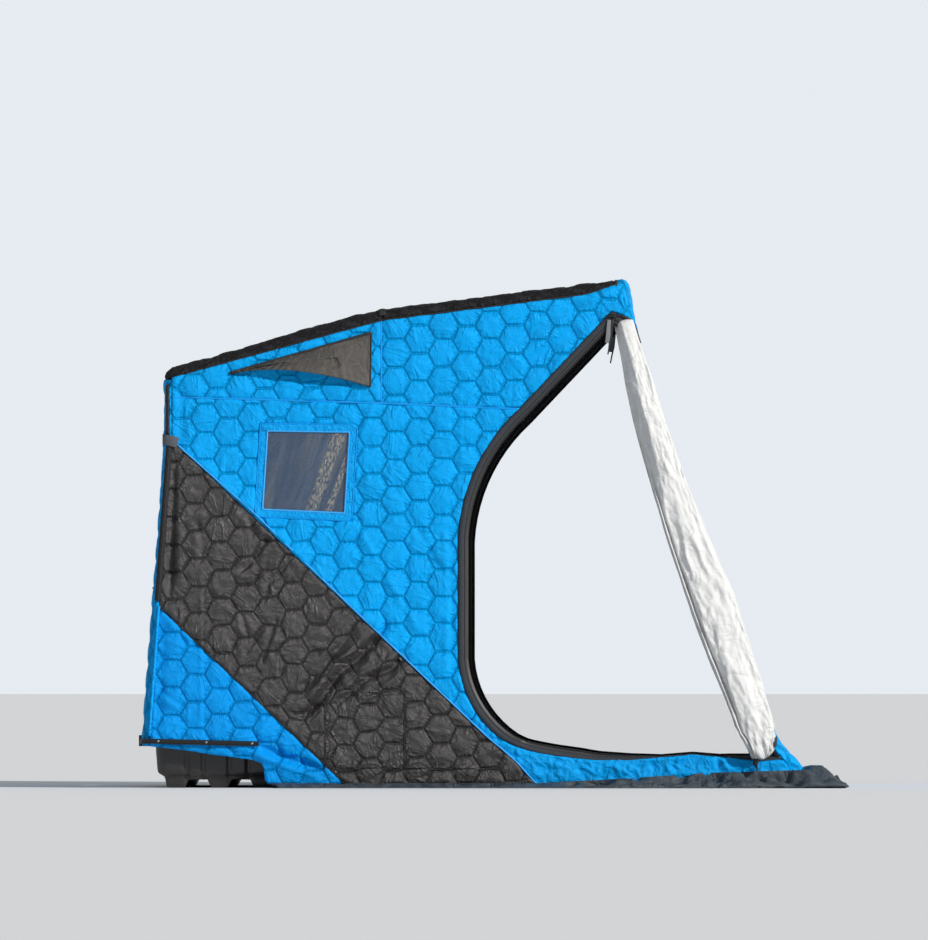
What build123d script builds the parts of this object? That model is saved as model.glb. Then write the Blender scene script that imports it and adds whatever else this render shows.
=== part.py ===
from build123d import *
import os

os.makedirs("parts", exist_ok=True)

# Outer fabric outline seen from the side: +X is the front, Z = 0 is the ice
width = 1650.0
cloth = 10.0
rear_foot_x = -1416.0
rear_foot_z = 188.0
rear_knee_x = -1326.0
rear_knee_z = 1412.0
rear_eave_z = 1652.0
ridge_x = -456.0
ridge_z = 1914.0
peak_x = 524.0
peak_z = 2036.0
front_foot_x = 1128.0
front_foot_z = 184.0
front_toe_x = 1232.0
front_toe_z = 68.0
front_sag = 38.0
edge_round = 45.0
foot_round = 150.0
toe_round = 40.0

# Sewing lines of the side panels
corner_seam = 30.0
ridge_wrap = 42.0
peak_wrap = 40.0
yoke_rear_drop = 78.0
yoke_ridge_drop = 374.0
band_top_z = 1424.0
band_rear_z = 792.0
band_toe_x = 168.0
band_heel_x = -600.0
hem_rear_x = -908.0
hem_z = 14.0
flap_drop = 70.0
front_seam_z = (1480.0, 1060.0)
rear_seam_z = 800.0

# Doors
door_top_drop = 130.0
door_apex_back = 57.0
door_shoulder_x = 98.0
door_shoulder_z = 1516.0
door_rear_x = -146.0
door_sill_z = 114.0
door_trim = 40.0
roll_seat = 0.55
roll_swell = 1.05
roll_sides = 12
roll_stations = (
    (0.09, -42.0, 36.0),
    (0.22, -62.0, 54.0),
    (0.42, -62.0, 66.0),
    (0.69, -44.0, 94.0),
    (0.88, -50.0, 82.0),
    (1.0, -66.0, 64.0),
)

# Windows and vents
window_x = -752.0
window_z = 1264.0
window_size = 322.0
window_lean = 20.0
pane = 4.0
pane_depth = 3.0
front_window_y = 350.0
front_window_z = 1270.0
front_window_length = 420.0
front_window_height = 260.0
vent_rear = (-604.0, -254.0)
vent_top = (-40.0, -94.0)
vent_low = (-44.0, -310.0)
vent_crown = (-300.0, -240.0)
vent_rise = 58.0
vent_open = 0.9
mesh_centre = (-215.0, -205.0)
mesh_turn = 14.0
mesh_length = 150.0
mesh_height = 46.0

# Skirts lying on the ice
side_skirt = 180.0
front_skirt = 196.0
skirt_mitre = 45.0
skirt_bite = 1.0

# Sled
sled_front_x = -560.0
rim_overhang = 45.0
rim_lip = 28.0
sled_wall = 6.0
hull_taper = 40.0
channel_width = 100.0
channel_height = 30.0
channel_lean = 14.0
channel_rear_x = -1196.0
channel_pitch = 186.0
channel_count = 3
flute_offset = 33.0
flute_width = 12.0
flute_depth = 5.0
flute_top = 150.0
hull_round = 40.0
seat = 0.2

# Rails that clamp the fabric to the rim
rail_thick = 12.0
rail_height = 22.0
side_rail_front_x = -932.0
rear_rail_height = 44.0

# Hoops of tube and the brackets they stand in
tube = 30.0
tube_sides = 8
hoop_inset = 30.0
elbow = 70.0
bracket_thick = 40.0
bracket_height = 102.0
bracket_rear_x = -1190.0
bracket_front_x = -920.0
bore_floor = 12.0

# Values that follow from the sizes above
half_width = width / 2
tube_radius = tube / 2
corner_round = tube_radius + cloth
hoop_y = half_width - hoop_inset
rim_rear_x = rear_foot_x + cloth + seat
rim_half = half_width - cloth - seat
reach = 200.0
far = 4000.0


def polygon(*points):
    """Flat face through the given (x, z) points."""
    return make_face(Polyline(*points, close=True))


def prism(face, side=0):
    """Face of the side view pushed across the hut: both ways, or to one side only."""
    if side == 0:
        return extrude(Plane.XZ * face, amount=far, both=True)
    return extrude(Plane.XZ * face, amount=-side * far)


def outline():
    """Side view of the outer fabric, run on below the ice so that it opens downwards."""
    foot = (front_foot_x, front_foot_z)
    peak = (peak_x, peak_z)
    middle = ((peak_x + front_foot_x) / 2 - front_sag, (peak_z + front_foot_z) / 2)
    back = Polyline(
        (rear_foot_x, -reach),
        (rear_foot_x, rear_foot_z),
        (rear_knee_x, rear_knee_z),
        (rear_knee_x, rear_eave_z),
        (ridge_x, ridge_z),
        peak,
    )
    front = ThreePointArc(peak, middle, foot)
    under = Polyline(
        foot,
        (front_toe_x, front_toe_z),
        (front_toe_x, -reach),
        (rear_foot_x, -reach),
    )
    face = make_face(back.edges() + [front] + under.edges())
    for x, z, radius in (
        (rear_knee_x, rear_eave_z, corner_round),
        (peak_x, peak_z, corner_round),
        (front_foot_x, front_foot_z, foot_round),
        (front_toe_x, front_toe_z, toe_round),
    ):
        face = fillet(face.vertices().sort_by_distance((x, z, 0))[0], radius)
    return face


def inset(face, depth):
    return offset(face, amount=-depth, kind=Kind.INTERSECTION)


def form(depth):
    """Solid bounded by the fabric at a depth below its outer face."""
    face = side_view if depth == 0 else inset(side_view, depth)
    body = extrude(Plane.XZ * face, amount=half_width - depth, both=True)
    ends = body.faces().sort_by(Axis.Y)
    body = fillet(ends[0].edges() + ends[-1].edges(), edge_round - depth)
    return body & Pos(0, 0, far / 2) * Box(far, far, far)


def roof_z(x):
    """Height of the roof's outer face over the rear and the front slope."""
    if x < ridge_x:
        rise = (ridge_z - rear_eave_z) / (ridge_x - rear_knee_x)
    else:
        rise = (peak_z - ridge_z) / (peak_x - ridge_x)
    return ridge_z + (x - ridge_x) * rise


def save(shape, name):
    export_step(shape, f"parts/{name}.step")


def save_sides(build, name):
    """Save a piece that both sides of the hut have."""
    for side, side_name in ((-1, "right"), (1, "left")):
        save(build(side), f"{side_name}_{name}")


def mirrored(solid):
    """The solid and its twin on the other side of the hut."""
    return Compound(children=[solid, mirror(solid, about=Plane.XZ)])


side_view = outline()
outer = form(0)
skin = outer - form(cloth)
pane_skin = form(pane_depth) - form(pane_depth + pane)

# Lines that part the skin into sewn panels
yoke_rear = (rear_foot_x - reach, rear_eave_z - yoke_rear_drop)
yoke_ridge = (ridge_x, ridge_z - yoke_ridge_drop)
yoke_front = (door_shoulder_x, door_shoulder_z)
roof_wrap = [
    (rear_foot_x - reach, rear_eave_z - corner_seam - ridge_wrap),
    (rear_knee_x, rear_eave_z - corner_seam / 2),
    (ridge_x, ridge_z - ridge_wrap),
    (peak_x - 4 * peak_wrap, roof_z(peak_x - 4 * peak_wrap) - peak_wrap),
    (peak_x - peak_wrap, peak_z - peak_wrap / 2),
    (peak_x - peak_wrap, far),
]
door_top_z = peak_z - door_top_drop
door_apex = (peak_x - door_apex_back, door_top_z)
brow_end = (far, door_top_z - corner_seam * (far - door_apex[0]) / reach)
flap_z = rear_foot_z - rail_height
hem = [
    (rear_foot_x - reach, flap_z),
    (rear_foot_x + corner_seam, flap_z),
    (hem_rear_x - corner_seam, flap_z - flap_drop),
    (hem_rear_x, hem_z),
    (band_toe_x, hem_z),
    (front_toe_x, front_toe_z),
    (front_toe_x + reach, front_toe_z),
]


def side_field():
    """The part of a side wall that lies within the corner, roof and hem seams."""
    brow = polygon((peak_x - peak_wrap, far), door_apex, brow_end, (far, far))
    roof = polygon(*roof_wrap, (rear_foot_x - reach, far))
    ground = polygon(*hem, (far, -far), (-far, -far), (-far, flap_z))
    return inset(side_view, corner_seam) - roof - brow - ground


def door_face(depth):
    """Door opening drawn in by a depth from its sewn edge, up to the front corner seam."""
    shoulder = (door_shoulder_x, door_shoulder_z)
    jamb_high = (door_rear_x, door_shoulder_z - 13 * door_trim)
    jamb_low = (door_rear_x, door_sill_z + 10 * door_trim)
    sill_rear = (door_rear_x + 7 * door_trim, door_sill_z + door_trim / 2)
    sill_front = (door_rear_x + 14 * door_trim, door_sill_z)
    high_bend = (door_rear_x + 1.75 * door_trim, door_shoulder_z - 5.9 * door_trim)
    low_bend = (door_rear_x + 2 * door_trim, door_sill_z + 4.4 * door_trim)
    loop = [
        Line(door_apex, shoulder),
        ThreePointArc(shoulder, high_bend, jamb_high),
        Line(jamb_high, jamb_low),
        ThreePointArc(jamb_low, low_bend, sill_rear),
        Polyline(sill_rear, sill_front, (far, door_sill_z), brow_end, door_apex),
    ]
    face = make_face([edge for line in loop for edge in line.edges()])
    if depth:
        face = inset(face, depth)
    return face & inset(side_view, corner_seam + depth)


def window_face():
    half = window_size / 2
    return Pos(window_x, window_z) * polygon(
        (-half, half + window_lean / 4),
        (half + window_lean / 2, half),
        (half - window_lean / 2, -half - window_lean / 4),
        (-half - window_lean, -half + window_lean / 2),
    )


field = side_field()
door = door_face(0)
door_clear = door_face(door_trim)
window = window_face()
yoke = polygon(
    (-far, yoke_rear[1]),
    yoke_rear,
    yoke_ridge,
    yoke_front,
    (far, yoke_front[1]),
    (far, far),
    (-far, far),
)
rear_half = polygon((-far, -far), (ridge_x, -far), (ridge_x, far), (-far, far))
band_run = (band_toe_x - rear_knee_x) / (band_top_z - hem_z)
heel_run = (band_heel_x - rear_foot_x) / (band_rear_z - hem_z)
band_above = polygon(
    (rear_knee_x - reach * band_run, band_top_z + reach),
    (band_toe_x + reach * band_run, hem_z - reach),
    (far, -far),
    (far, far),
    (-far, far),
)
band_below = polygon(
    (rear_foot_x - reach * heel_run, band_rear_z + reach),
    (band_heel_x + reach * heel_run, hem_z - reach),
    (-far, -far),
)
sill = polygon(
    (door_rear_x + 2 * door_trim, door_sill_z + 4.6 * door_trim),
    (door_rear_x - far, door_sill_z + 4.6 * door_trim - far),
    (far, -far),
    (far, door_sill_z + 4.6 * door_trim),
)
below_yoke = field - yoke - door
above_band = below_yoke & band_above
mesh_place = Pos(ridge_x + mesh_centre[0], ridge_z + mesh_centre[1]) * Rot(0, 0, mesh_turn)
vent_hole = mesh_place * SlotOverall(mesh_length, mesh_height)


def side_panel(face, side):
    return skin & prism(face, side)


save_sides(lambda side: side_panel((field & yoke & rear_half) - vent_hole, side), "upper_rear_panel")
save_sides(lambda side: side_panel((field & yoke) - rear_half - door, side), "upper_front_panel")
save_sides(lambda side: side_panel(above_band - sill - window, side), "main_panel")
save_sides(lambda side: side_panel(above_band & sill, side), "sill_panel")
save_sides(lambda side: side_panel(below_yoke - band_above - band_below, side), "band_panel")
save_sides(lambda side: side_panel(below_yoke & band_below, side), "rear_corner_panel")
save_sides(lambda side: side_panel(door - door_clear, side), "door_trim")
save_sides(lambda side: pane_skin & prism(window, side), "window")
save(mirrored(pane_skin & prism(vent_hole, -1)), "vent_meshes")

# Panels that run across the hut: all of the skin outside the two side fields
ring = skin - prism(field)


def across(*points):
    return ring & prism(polygon(*points))


front_line = peak_x - peak_wrap
seam_high, seam_low = front_seam_z
rear_line = [(rear_knee_x + reach, rear_eave_z - corner_seam), roof_wrap[1], roof_wrap[0]]
roof_rear = across(*roof_wrap[:3], (ridge_x, far), (rear_foot_x - reach, far))
roof_front = across(*roof_wrap[2:], (ridge_x, far))
rear_upper = across((-far, rear_seam_z), (ridge_x, rear_seam_z), *rear_line)
rear_lower = across((-far, flap_z), (ridge_x, flap_z), (ridge_x, rear_seam_z), (-far, rear_seam_z))
front_upper = across((front_line, seam_high), (far, seam_high), (far, far), (front_line, far))
front_middle = across((front_line, seam_low), (far, seam_low), (far, seam_high), (front_line, seam_high))
front_lower = across((front_line, front_toe_z), (far, front_toe_z), (far, seam_low), (front_line, seam_low))
front_window = RectangleRounded(front_window_length, front_window_height, 2 * door_trim)
front_holes = [
    extrude(Plane.YZ * Pos(side * front_window_y, front_window_z) * front_window, amount=far)
    for side in (-1, 1)
]
save(roof_rear, "roof_rear_panel")
save(roof_front, "roof_front_panel")
save(rear_upper, "rear_upper_panel")
save(rear_lower, "rear_lower_panel")
save(front_upper, "front_upper_panel")
save(front_middle - front_holes, "front_middle_panel")
save(front_lower, "front_lower_panel")
save(Compound(children=[pane_skin & hole for hole in front_holes]), "front_windows")

# Skirts: an upstand that carries on the wall and a flap lying on the ice, mitred at the corners
skirt_edge = half_width + side_skirt
skirt_front = front_toe_x + front_skirt
skirt_seam = front_toe_x - corner_seam


def flap(*points):
    return extrude(polygon(*points), amount=cloth) - outer


def side_skirt_piece(side):
    below_hem = polygon(*hem, (far, -far), (-far, -far), (-far, flap_z))
    span = polygon((hem_rear_x, -far), (skirt_seam, -far), (skirt_seam, far), (hem_rear_x, far))
    upstand = skin & prism(below_hem & span, side)
    lying = flap(
        (hem_rear_x, side * (half_width - skirt_bite)),
        (skirt_seam, side * (half_width - skirt_bite)),
        (skirt_front, side * skirt_edge),
        (hem_rear_x + skirt_mitre, side * skirt_edge),
    )
    return upstand + lying


def front_skirt_piece():
    below_toe = polygon((skirt_seam, -far), (far, -far), (far, front_toe_z), (skirt_seam, front_toe_z))
    upstand = skin & prism(below_toe)
    lying = flap(
        (skirt_seam, half_width - skirt_bite),
        (skirt_front, skirt_edge),
        (skirt_front, -skirt_edge),
        (skirt_seam, skirt_bite - half_width),
    )
    return upstand + lying


save_sides(side_skirt_piece, "skirt")
save(front_skirt_piece(), "front_skirt")


def roll(side):
    """Door rolled up and tied along the front corner, flat where it lies on the wall."""
    seam = ThreePointArc(
        (peak_x, peak_z),
        ((peak_x + front_foot_x) / 2 - front_sag, (peak_z + front_foot_z) / 2),
        (front_foot_x, front_foot_z),
    )
    rings = []
    for share, shift, radius in roll_stations:
        at = seam @ share
        middle = (at.X + shift, side * (half_width + roll_seat * radius), at.Y)
        rings.append(Plane(origin=middle) * RegularPolygon(radius * roll_swell, roll_sides))
    wall = Pos(0, side * (half_width - far / 2), 0) * Box(2 * far, far, 2 * far)
    return loft(rings, ruled=True) - wall


save_sides(roll, "door_roll")


def pyramid(base, crown):
    return Solid.make_loft([Wire.make_polygon(base), Vertex(crown)], ruled=True)


def vent_hood(side):
    """Scoop of fabric over a vent, open at its rear lower edge."""
    rear, top, low, crown = (
        Vector(ridge_x + x, side * (half_width + rise), ridge_z + z)
        for (x, z), rise in ((vent_rear, 0), (vent_top, 0), (vent_low, 0), (vent_crown, vent_rise))
    )
    mouth = (rear + low) * 0.5
    hollow = [mouth + (corner - mouth) * vent_open for corner in (rear, top, low, crown)]
    return pyramid([rear, top, low], crown) - pyramid(hollow[:3], hollow[3])


save_sides(vent_hood, "vent_hood")

# Sled: a moulded tub whose floor is pressed up into channels between its runners
rim_length = sled_front_x - rim_rear_x
rim_middle_x = (sled_front_x + rim_rear_x) / 2
hull_length = rim_length - 2 * rim_overhang
hull_width = 2 * (rim_half - rim_overhang)
flange_z = rear_foot_z - sled_wall


def tub(shrink, low, high):
    """Tapered tub body between two heights, drawn in from the hull's outer face."""
    rings = []
    for z, taper in ((high, 0), (low, hull_taper)):
        length = hull_length - 2 * (shrink + taper)
        across_y = hull_width - 2 * (shrink + taper)
        rings.append(Pos(rim_middle_x, 0, z) * RectangleRounded(length, across_y, hull_round - shrink))
    return loft(rings)


def channel(x, grow):
    wide = channel_width / 2 + grow
    top = channel_height + grow
    left = x - wide
    right = x + wide
    return prism(polygon((left, -1), (right, -1), (right - channel_lean, top), (left + channel_lean, top)))


def flute(x, side, grow):
    """Upright groove pressed into an end wall, following the wall's draft."""
    depth = flute_depth + grow
    low_y = hull_width / 2 - hull_taper - depth
    top_y = low_y + hull_taper * flute_top / rear_foot_z
    face = polygon((low_y, -1), (hull_width, -1), (hull_width, flute_top), (top_y, flute_top))
    groove = extrude(Plane.YZ.offset(x) * face, amount=flute_width / 2 + grow, both=True)
    return groove if side > 0 else mirror(groove, about=Plane.XZ)


channel_xs = [channel_rear_x + n * channel_pitch for n in range(channel_count)]
rim_round = edge_round - cloth
rim_plan = RectangleRounded(rim_length, 2 * rim_half, rim_round)
lip_plan = rim_plan - RectangleRounded(
    rim_length - 2 * sled_wall,
    2 * (rim_half - sled_wall),
    rim_round - sled_wall,
)
hull = tub(0, 0, rear_foot_z)
cavity = tub(sled_wall, sled_wall, rear_foot_z)
flange = extrude(Pos(rim_middle_x, 0, flange_z) * rim_plan, amount=sled_wall)
lip = extrude(Pos(rim_middle_x, 0, rear_foot_z - rim_lip) * lip_plan, amount=rim_lip)
for x in channel_xs:
    hull -= channel(x, 0)
    cavity -= channel(x, sled_wall)
    for side in (-1, 1):
        for flute_x in (x - flute_offset, x + flute_offset):
            hull -= flute(flute_x, side, 0)
            cavity -= flute(flute_x, side, sled_wall)
save(hull + flange + lip - cavity, "sled")


def side_rail(side):
    rear_x = rear_foot_x + edge_round
    face = polygon(
        (rear_x, rear_foot_z + 4),
        (side_rail_front_x, rear_foot_z - 4),
        (side_rail_front_x, rear_foot_z - 4 - rail_height),
        (rear_x, rear_foot_z + 4 - rail_height),
    )
    bar = extrude(Plane.XZ.offset(half_width) * face, amount=rail_thick)
    return bar if side < 0 else mirror(bar, about=Plane.XZ)


rear_rail_face = polygon(
    (rear_foot_x, rear_foot_z - rail_height),
    (rear_foot_x - rail_thick, rear_foot_z - rail_height),
    (rear_foot_x - rail_thick, rear_foot_z - rail_height + rear_rail_height),
    (rear_foot_x, rear_foot_z - rail_height + rear_rail_height),
)
rear_rail = extrude(Plane.XZ * rear_rail_face, amount=half_width - edge_round, both=True) - outer
save_sides(side_rail, "rail")
save(rear_rail, "rear_rail")


def inset_corner(before, corner, after):
    """Axis of a tube that touches the inside of the fabric at both edges of a corner."""
    first = (Vector(corner) - Vector(before)).normalized()
    second = (Vector(after) - Vector(corner)).normalized()
    normal = Vector(first.Y, -first.X)
    bisector = (normal + Vector(second.Y, -second.X)).normalized()
    return Vector(corner) + bisector * (corner_round / bisector.dot(normal))


def hoop(foot, top):
    """U of tube: two legs rising from the brackets and a crossbar between them."""
    path = Polyline(
        (foot[0], -hoop_y, foot[1]),
        (top.X, -hoop_y, top.Y),
        (top.X, hoop_y, top.Y),
        (foot[0], hoop_y, foot[1]),
    )
    path = fillet(path.vertices()[1:3], elbow)
    section = Plane(origin=path @ 0, z_dir=path % 0) * RegularPolygon(tube_radius, tube_sides)
    return sweep(section, path=path)


wall_tangent = ThreePointArc(
    (peak_x, peak_z),
    ((peak_x + front_foot_x) / 2 - front_sag, (peak_z + front_foot_z) / 2),
    (front_foot_x, front_foot_z),
) % 0
eave = (rear_knee_x, rear_eave_z)
crest = (ridge_x, ridge_z)
summit = (peak_x, peak_z)
below_summit = (peak_x + wall_tangent.X, peak_z + wall_tangent.Y)
foot_z = rear_foot_z + bore_floor + tube_radius
bracket_step = (bracket_front_x - bracket_rear_x) / 9
hoops = {
    "rear_hoop": hoop(
        (bracket_rear_x + 1.5 * bracket_step, foot_z),
        inset_corner((rear_knee_x, rear_knee_z), eave, crest),
    ),
    "middle_hoop": hoop(
        (bracket_rear_x + 3.4 * bracket_step, foot_z),
        inset_corner(eave, crest, summit),
    ),
    "front_hoop": hoop(
        (bracket_rear_x + 5 * bracket_step, foot_z),
        inset_corner(crest, summit, below_summit),
    ),
    "base_hoop": hoop(
        (bracket_rear_x + 8 * bracket_step, rear_foot_z + bracket_height - 2 * tube_radius),
        Vector(front_toe_x - corner_round, tube_radius),
    ),
}
for name, solid in hoops.items():
    save(solid, name)

bracket_middle = ((bracket_rear_x + bracket_front_x) / 2, half_width - cloth - bracket_thick / 2, rear_foot_z)
bracket = Pos(*bracket_middle) * Box(
    bracket_front_x - bracket_rear_x,
    bracket_thick,
    bracket_height,
    align=(Align.CENTER, Align.CENTER, Align.MIN),
)
bracket = fillet(bracket.edges().filter_by(Axis.Y).group_by(Axis.Z)[-1], 2 * tube_radius)
for solid in hoops.values():
    bracket -= solid
save(mirrored(bracket), "hinge_brackets")
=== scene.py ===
import math

import bmesh
import bpy
import numpy as np
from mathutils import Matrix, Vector, noise


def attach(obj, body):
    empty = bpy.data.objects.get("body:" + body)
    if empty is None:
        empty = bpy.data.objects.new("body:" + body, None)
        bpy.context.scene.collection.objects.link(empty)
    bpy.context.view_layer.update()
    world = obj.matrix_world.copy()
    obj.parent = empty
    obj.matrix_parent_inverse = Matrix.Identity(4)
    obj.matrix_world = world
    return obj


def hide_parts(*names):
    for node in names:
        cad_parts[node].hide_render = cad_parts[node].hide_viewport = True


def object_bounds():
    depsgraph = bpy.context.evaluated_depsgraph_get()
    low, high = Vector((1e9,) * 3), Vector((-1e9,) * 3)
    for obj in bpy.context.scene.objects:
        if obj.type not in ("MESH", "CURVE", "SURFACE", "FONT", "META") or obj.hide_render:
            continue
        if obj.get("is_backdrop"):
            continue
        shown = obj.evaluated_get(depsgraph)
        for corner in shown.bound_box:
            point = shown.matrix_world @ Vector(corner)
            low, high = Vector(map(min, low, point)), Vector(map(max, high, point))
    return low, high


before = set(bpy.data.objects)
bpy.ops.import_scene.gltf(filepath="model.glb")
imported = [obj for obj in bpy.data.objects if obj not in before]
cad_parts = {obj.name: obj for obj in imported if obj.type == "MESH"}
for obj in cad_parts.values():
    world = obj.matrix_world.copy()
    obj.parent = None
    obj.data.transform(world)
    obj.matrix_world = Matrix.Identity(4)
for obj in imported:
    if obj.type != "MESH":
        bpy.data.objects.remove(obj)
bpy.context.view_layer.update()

# All sizes are in metres, in the frame's own axes
HALF = 0.825  # from the middle of the hut to a side wall
EDGE = 0.045  # radius at which the cloth rounds over the hoops
PANEL_CLOTH = 0.008  # thickness of the quilted cloth
TAPE_CLOTH = 0.002
HEX = 0.0635  # from the middle of a sewn hexagon to its corner
CELL = 8  # steps of the simulated swatch from there to there
UNDERLAY = -0.003  # how far a panel lies under the wall's nominal face
SIDES = ((-1, "right"), (1, "left"))


# Corners of the hut seen from the side, as (x, z)
REAR_GROUND = (-1.416, 0.0)
REAR_HEM = (-1.416, 0.188)
REAR_KINK = (-1.326, 1.412)
EAVE_CORNER = (-1.326, 1.652)
RIDGE_TOP = (-0.456, 1.914)
PEAK = (0.524, 2.036)
FRONT_SAG = (0.788, 1.110)
FRONT_HEM = (1.128, 0.184)
FRONT_TOE = (1.232, 0.068)
FRONT_GROUND = (1.232, 0.0)


def bend(before, corner, after, radius, steps=6):
    """Points of a rounded corner."""
    before, corner, after = (np.array(p, float) for p in (before, corner, after))
    first = (before - corner) / np.linalg.norm(before - corner)
    second = (after - corner) / np.linalg.norm(after - corner)
    half = math.acos(float(first @ second)) / 2
    reach = radius / math.tan(half)
    centre = corner + (first + second) / np.linalg.norm(first + second) * radius / math.sin(half)
    start = corner + first * reach - centre
    end = corner + second * reach - centre
    points = []
    for k in range(steps + 1):
        mix = start * (1 - k / steps) + end * k / steps
        points.append(centre + mix / np.linalg.norm(mix) * radius)
    return points


def arc_through(a, b, c, count):
    """Points of the arc from a through b to c."""
    a, b, c = (np.array(p, float) for p in (a, b, c))
    matrix = 2 * np.array([b - a, c - a])
    centre = np.linalg.solve(matrix, [b @ b - a @ a, c @ c - a @ a])
    radius = np.linalg.norm(a - centre)
    angles = np.unwrap([math.atan2(*(p - centre)[::-1]) for p in (a, b, c)])
    sweep = np.linspace(angles[0], angles[2], count)
    return [centre + radius * np.array([math.cos(t), math.sin(t)]) for t in sweep]


def front_arc(count):
    """The sagging front wall from the peak to its foot."""
    return arc_through(PEAK, FRONT_SAG, FRONT_HEM, count)


def outline_points():
    """The hut's outline from the side, as (x, z) from the rear foot over the roof to the front foot."""
    arc = front_arc(40)
    points = [REAR_GROUND, REAR_HEM, REAR_KINK]
    points += bend(REAR_KINK, EAVE_CORNER, RIDGE_TOP, 0.025)
    points += [RIDGE_TOP]
    points += bend(RIDGE_TOP, PEAK, arc[2], 0.025)
    points += arc[2:-2]
    points += bend(arc[-3], FRONT_HEM, FRONT_TOE, 0.15)
    points += bend(FRONT_HEM, FRONT_TOE, FRONT_GROUND, 0.04)
    points += [FRONT_GROUND]
    points = [np.array(p, float) for p in points]
    dense = []
    for a, b in zip(points, points[1:]):
        steps = max(1, int(np.linalg.norm(b - a) / 0.02))
        dense += [a + (b - a) * k / steps for k in range(steps)]
    return np.array(dense + [points[-1]])


RIM = outline_points()
RUN = np.concatenate([[0], np.cumsum(np.linalg.norm(np.diff(RIM, axis=0), axis=1))])
along = np.gradient(RIM, axis=0)
along /= np.linalg.norm(along, axis=1)[:, None]
OUTWARD = np.stack([-along[:, 1], along[:, 0]], axis=1)


def run_at(x=None, z=None, first=True):
    """Length along the outline at which it passes an x or a z."""
    values, target = (RIM[:, 0], x) if x is not None else (RIM[:, 1], z)
    crossings = np.nonzero((values[:-1] - target) * (values[1:] - target) <= 0)[0]
    k = crossings[0 if first else -1]
    share = (target - values[k]) / (values[k + 1] - values[k] + 1e-12)
    return RUN[k] + share * (RUN[k + 1] - RUN[k])


def inset_rim(depth, low, high):
    """The outline drawn in by a depth, between two lengths along it."""
    pick = (RUN >= low) & (RUN <= high)
    return [tuple(p) for p in RIM[pick] - OUTWARD[pick] * depth]


# The sill under the door waves up and down along the hut
SILL_X = np.array([-0.10, 0.10, 0.24, 0.38, 0.54, 0.64, 0.79, 0.94, 1.06, 1.15])
SILL_RISE = np.array([0.0, 0.012, 0.002, -0.004, -0.004, 0.006, 0.018, 0.006, -0.008, 0.0])


def to_rim(uv):
    """Distance from each point of a side to the hut's outline."""
    return np.linalg.norm(uv[:, None, :] - RIM[None, ::2, :], axis=2).min(axis=1)


def on_side(side):
    """Lays cloth cut in (x, z) on a side wall, which rounds over towards its corners."""

    def lay(uv):
        rise = np.interp(uv[:, 0], SILL_X, SILL_RISE) * np.clip((uv[:, 1] - 0.02) / 0.07, 0, 1)
        uv = uv + np.column_stack([0 * rise, rise * np.clip((0.21 - uv[:, 1]) / 0.06, 0, 1)])
        depth = np.clip(1 - to_rim(uv) / EDGE, 0, 1)
        drop = EDGE * (1 - np.sqrt(np.clip(1 - depth**2, 0, 1)))
        place = np.stack([uv[:, 0], side * (HALF - drop), uv[:, 1]], axis=1)
        out = np.zeros_like(place)
        out[:, 1] = side
        return place, out

    return lay


EAVE, RIDGE = run_at(z=1.637), run_at(x=RIDGE_TOP[0], first=False)
# How far the roof and the front stand out of the outline in the middle of the hut
BULGE_RUN = np.array([
    EAVE, EAVE + 0.05, EAVE + 0.24, EAVE + 0.47, RIDGE - 0.13, RIDGE - 0.02,
    *(run_at(z=z, first=False) for z in (2.00, 1.93, 1.80, 1.42, 1.10)),
])
BULGE = np.array([0.0, 0.022, 0.015, 0.013, 0.009, 0.0, 0.0, -0.008, -0.016, -0.012, 0.0])


def across_hut(uv):
    """Lays cloth cut in (length along the outline, width across) over the roof and end walls."""
    x = np.interp(uv[:, 0], RUN, RIM[:, 0])
    z = np.interp(uv[:, 0], RUN, RIM[:, 1])
    nx = np.interp(uv[:, 0], RUN, OUTWARD[:, 0])
    nz = np.interp(uv[:, 0], RUN, OUTWARD[:, 1])
    flat = HALF - EDGE
    past = np.clip(np.abs(uv[:, 1]) - flat, 0, None)
    turn = np.clip(past / EDGE, 0, math.pi / 2)
    inward = EDGE * (1 - np.cos(turn)) + np.clip(past - EDGE * math.pi / 2, 0, None)
    sign = np.sign(uv[:, 1])
    y = sign * (np.minimum(np.abs(uv[:, 1]), flat) + EDGE * np.sin(turn))
    place = np.stack([x - nx * inward, y, z - nz * inward], axis=1)
    out = np.stack([nx * np.cos(turn), sign * np.sin(turn), nz * np.cos(turn)], axis=1)
    bulge = np.interp(uv[:, 0], BULGE_RUN, BULGE) * np.cos(turn) ** 2
    return place + out * bulge[:, None], out


def over_edge(depth):
    """Width across at which the cloth has gone a depth down a rounded side edge."""
    return HALF - EDGE + EDGE * math.acos(max(-1, 1 - depth / EDGE))


def corners(bm):
    """Places of all points of a bmesh."""
    return np.array([v.co for v in bm.verts]).reshape(-1, 3)


def lay_points(bm, place):
    """Moves each point of a bmesh to its place."""
    for v, p in zip(bm.verts, place):
        v.co = p


def flattened(uv):
    """Points of flat cloth with a third coordinate of 0."""
    return np.column_stack([uv, 0 * uv[:, 0]])


def face_along(bm, way):
    """Turns all faces of a sheet to the side that a direction points to."""
    bmesh.ops.recalc_face_normals(bm, faces=bm.faces[:])
    if sum(f.normal.dot(way) for f in bm.faces) < 0:
        bmesh.ops.reverse_faces(bm, faces=bm.faces[:])


def grow_row(bm, row, edges):
    """Extrudes a row of edges: the new row's points in the same order, and its edges."""
    grown = bmesh.ops.extrude_edge_only(bm, edges=edges)["geom"]
    fresh = {g for g in grown if isinstance(g, bmesh.types.BMVert)}
    row = [next(e.other_vert(v) for e in v.link_edges if e.other_vert(v) in fresh) for v in row]
    edges = [g for g in grown if isinstance(g, bmesh.types.BMEdge) and all(v in fresh for v in g.verts)]
    return row, edges


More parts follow.
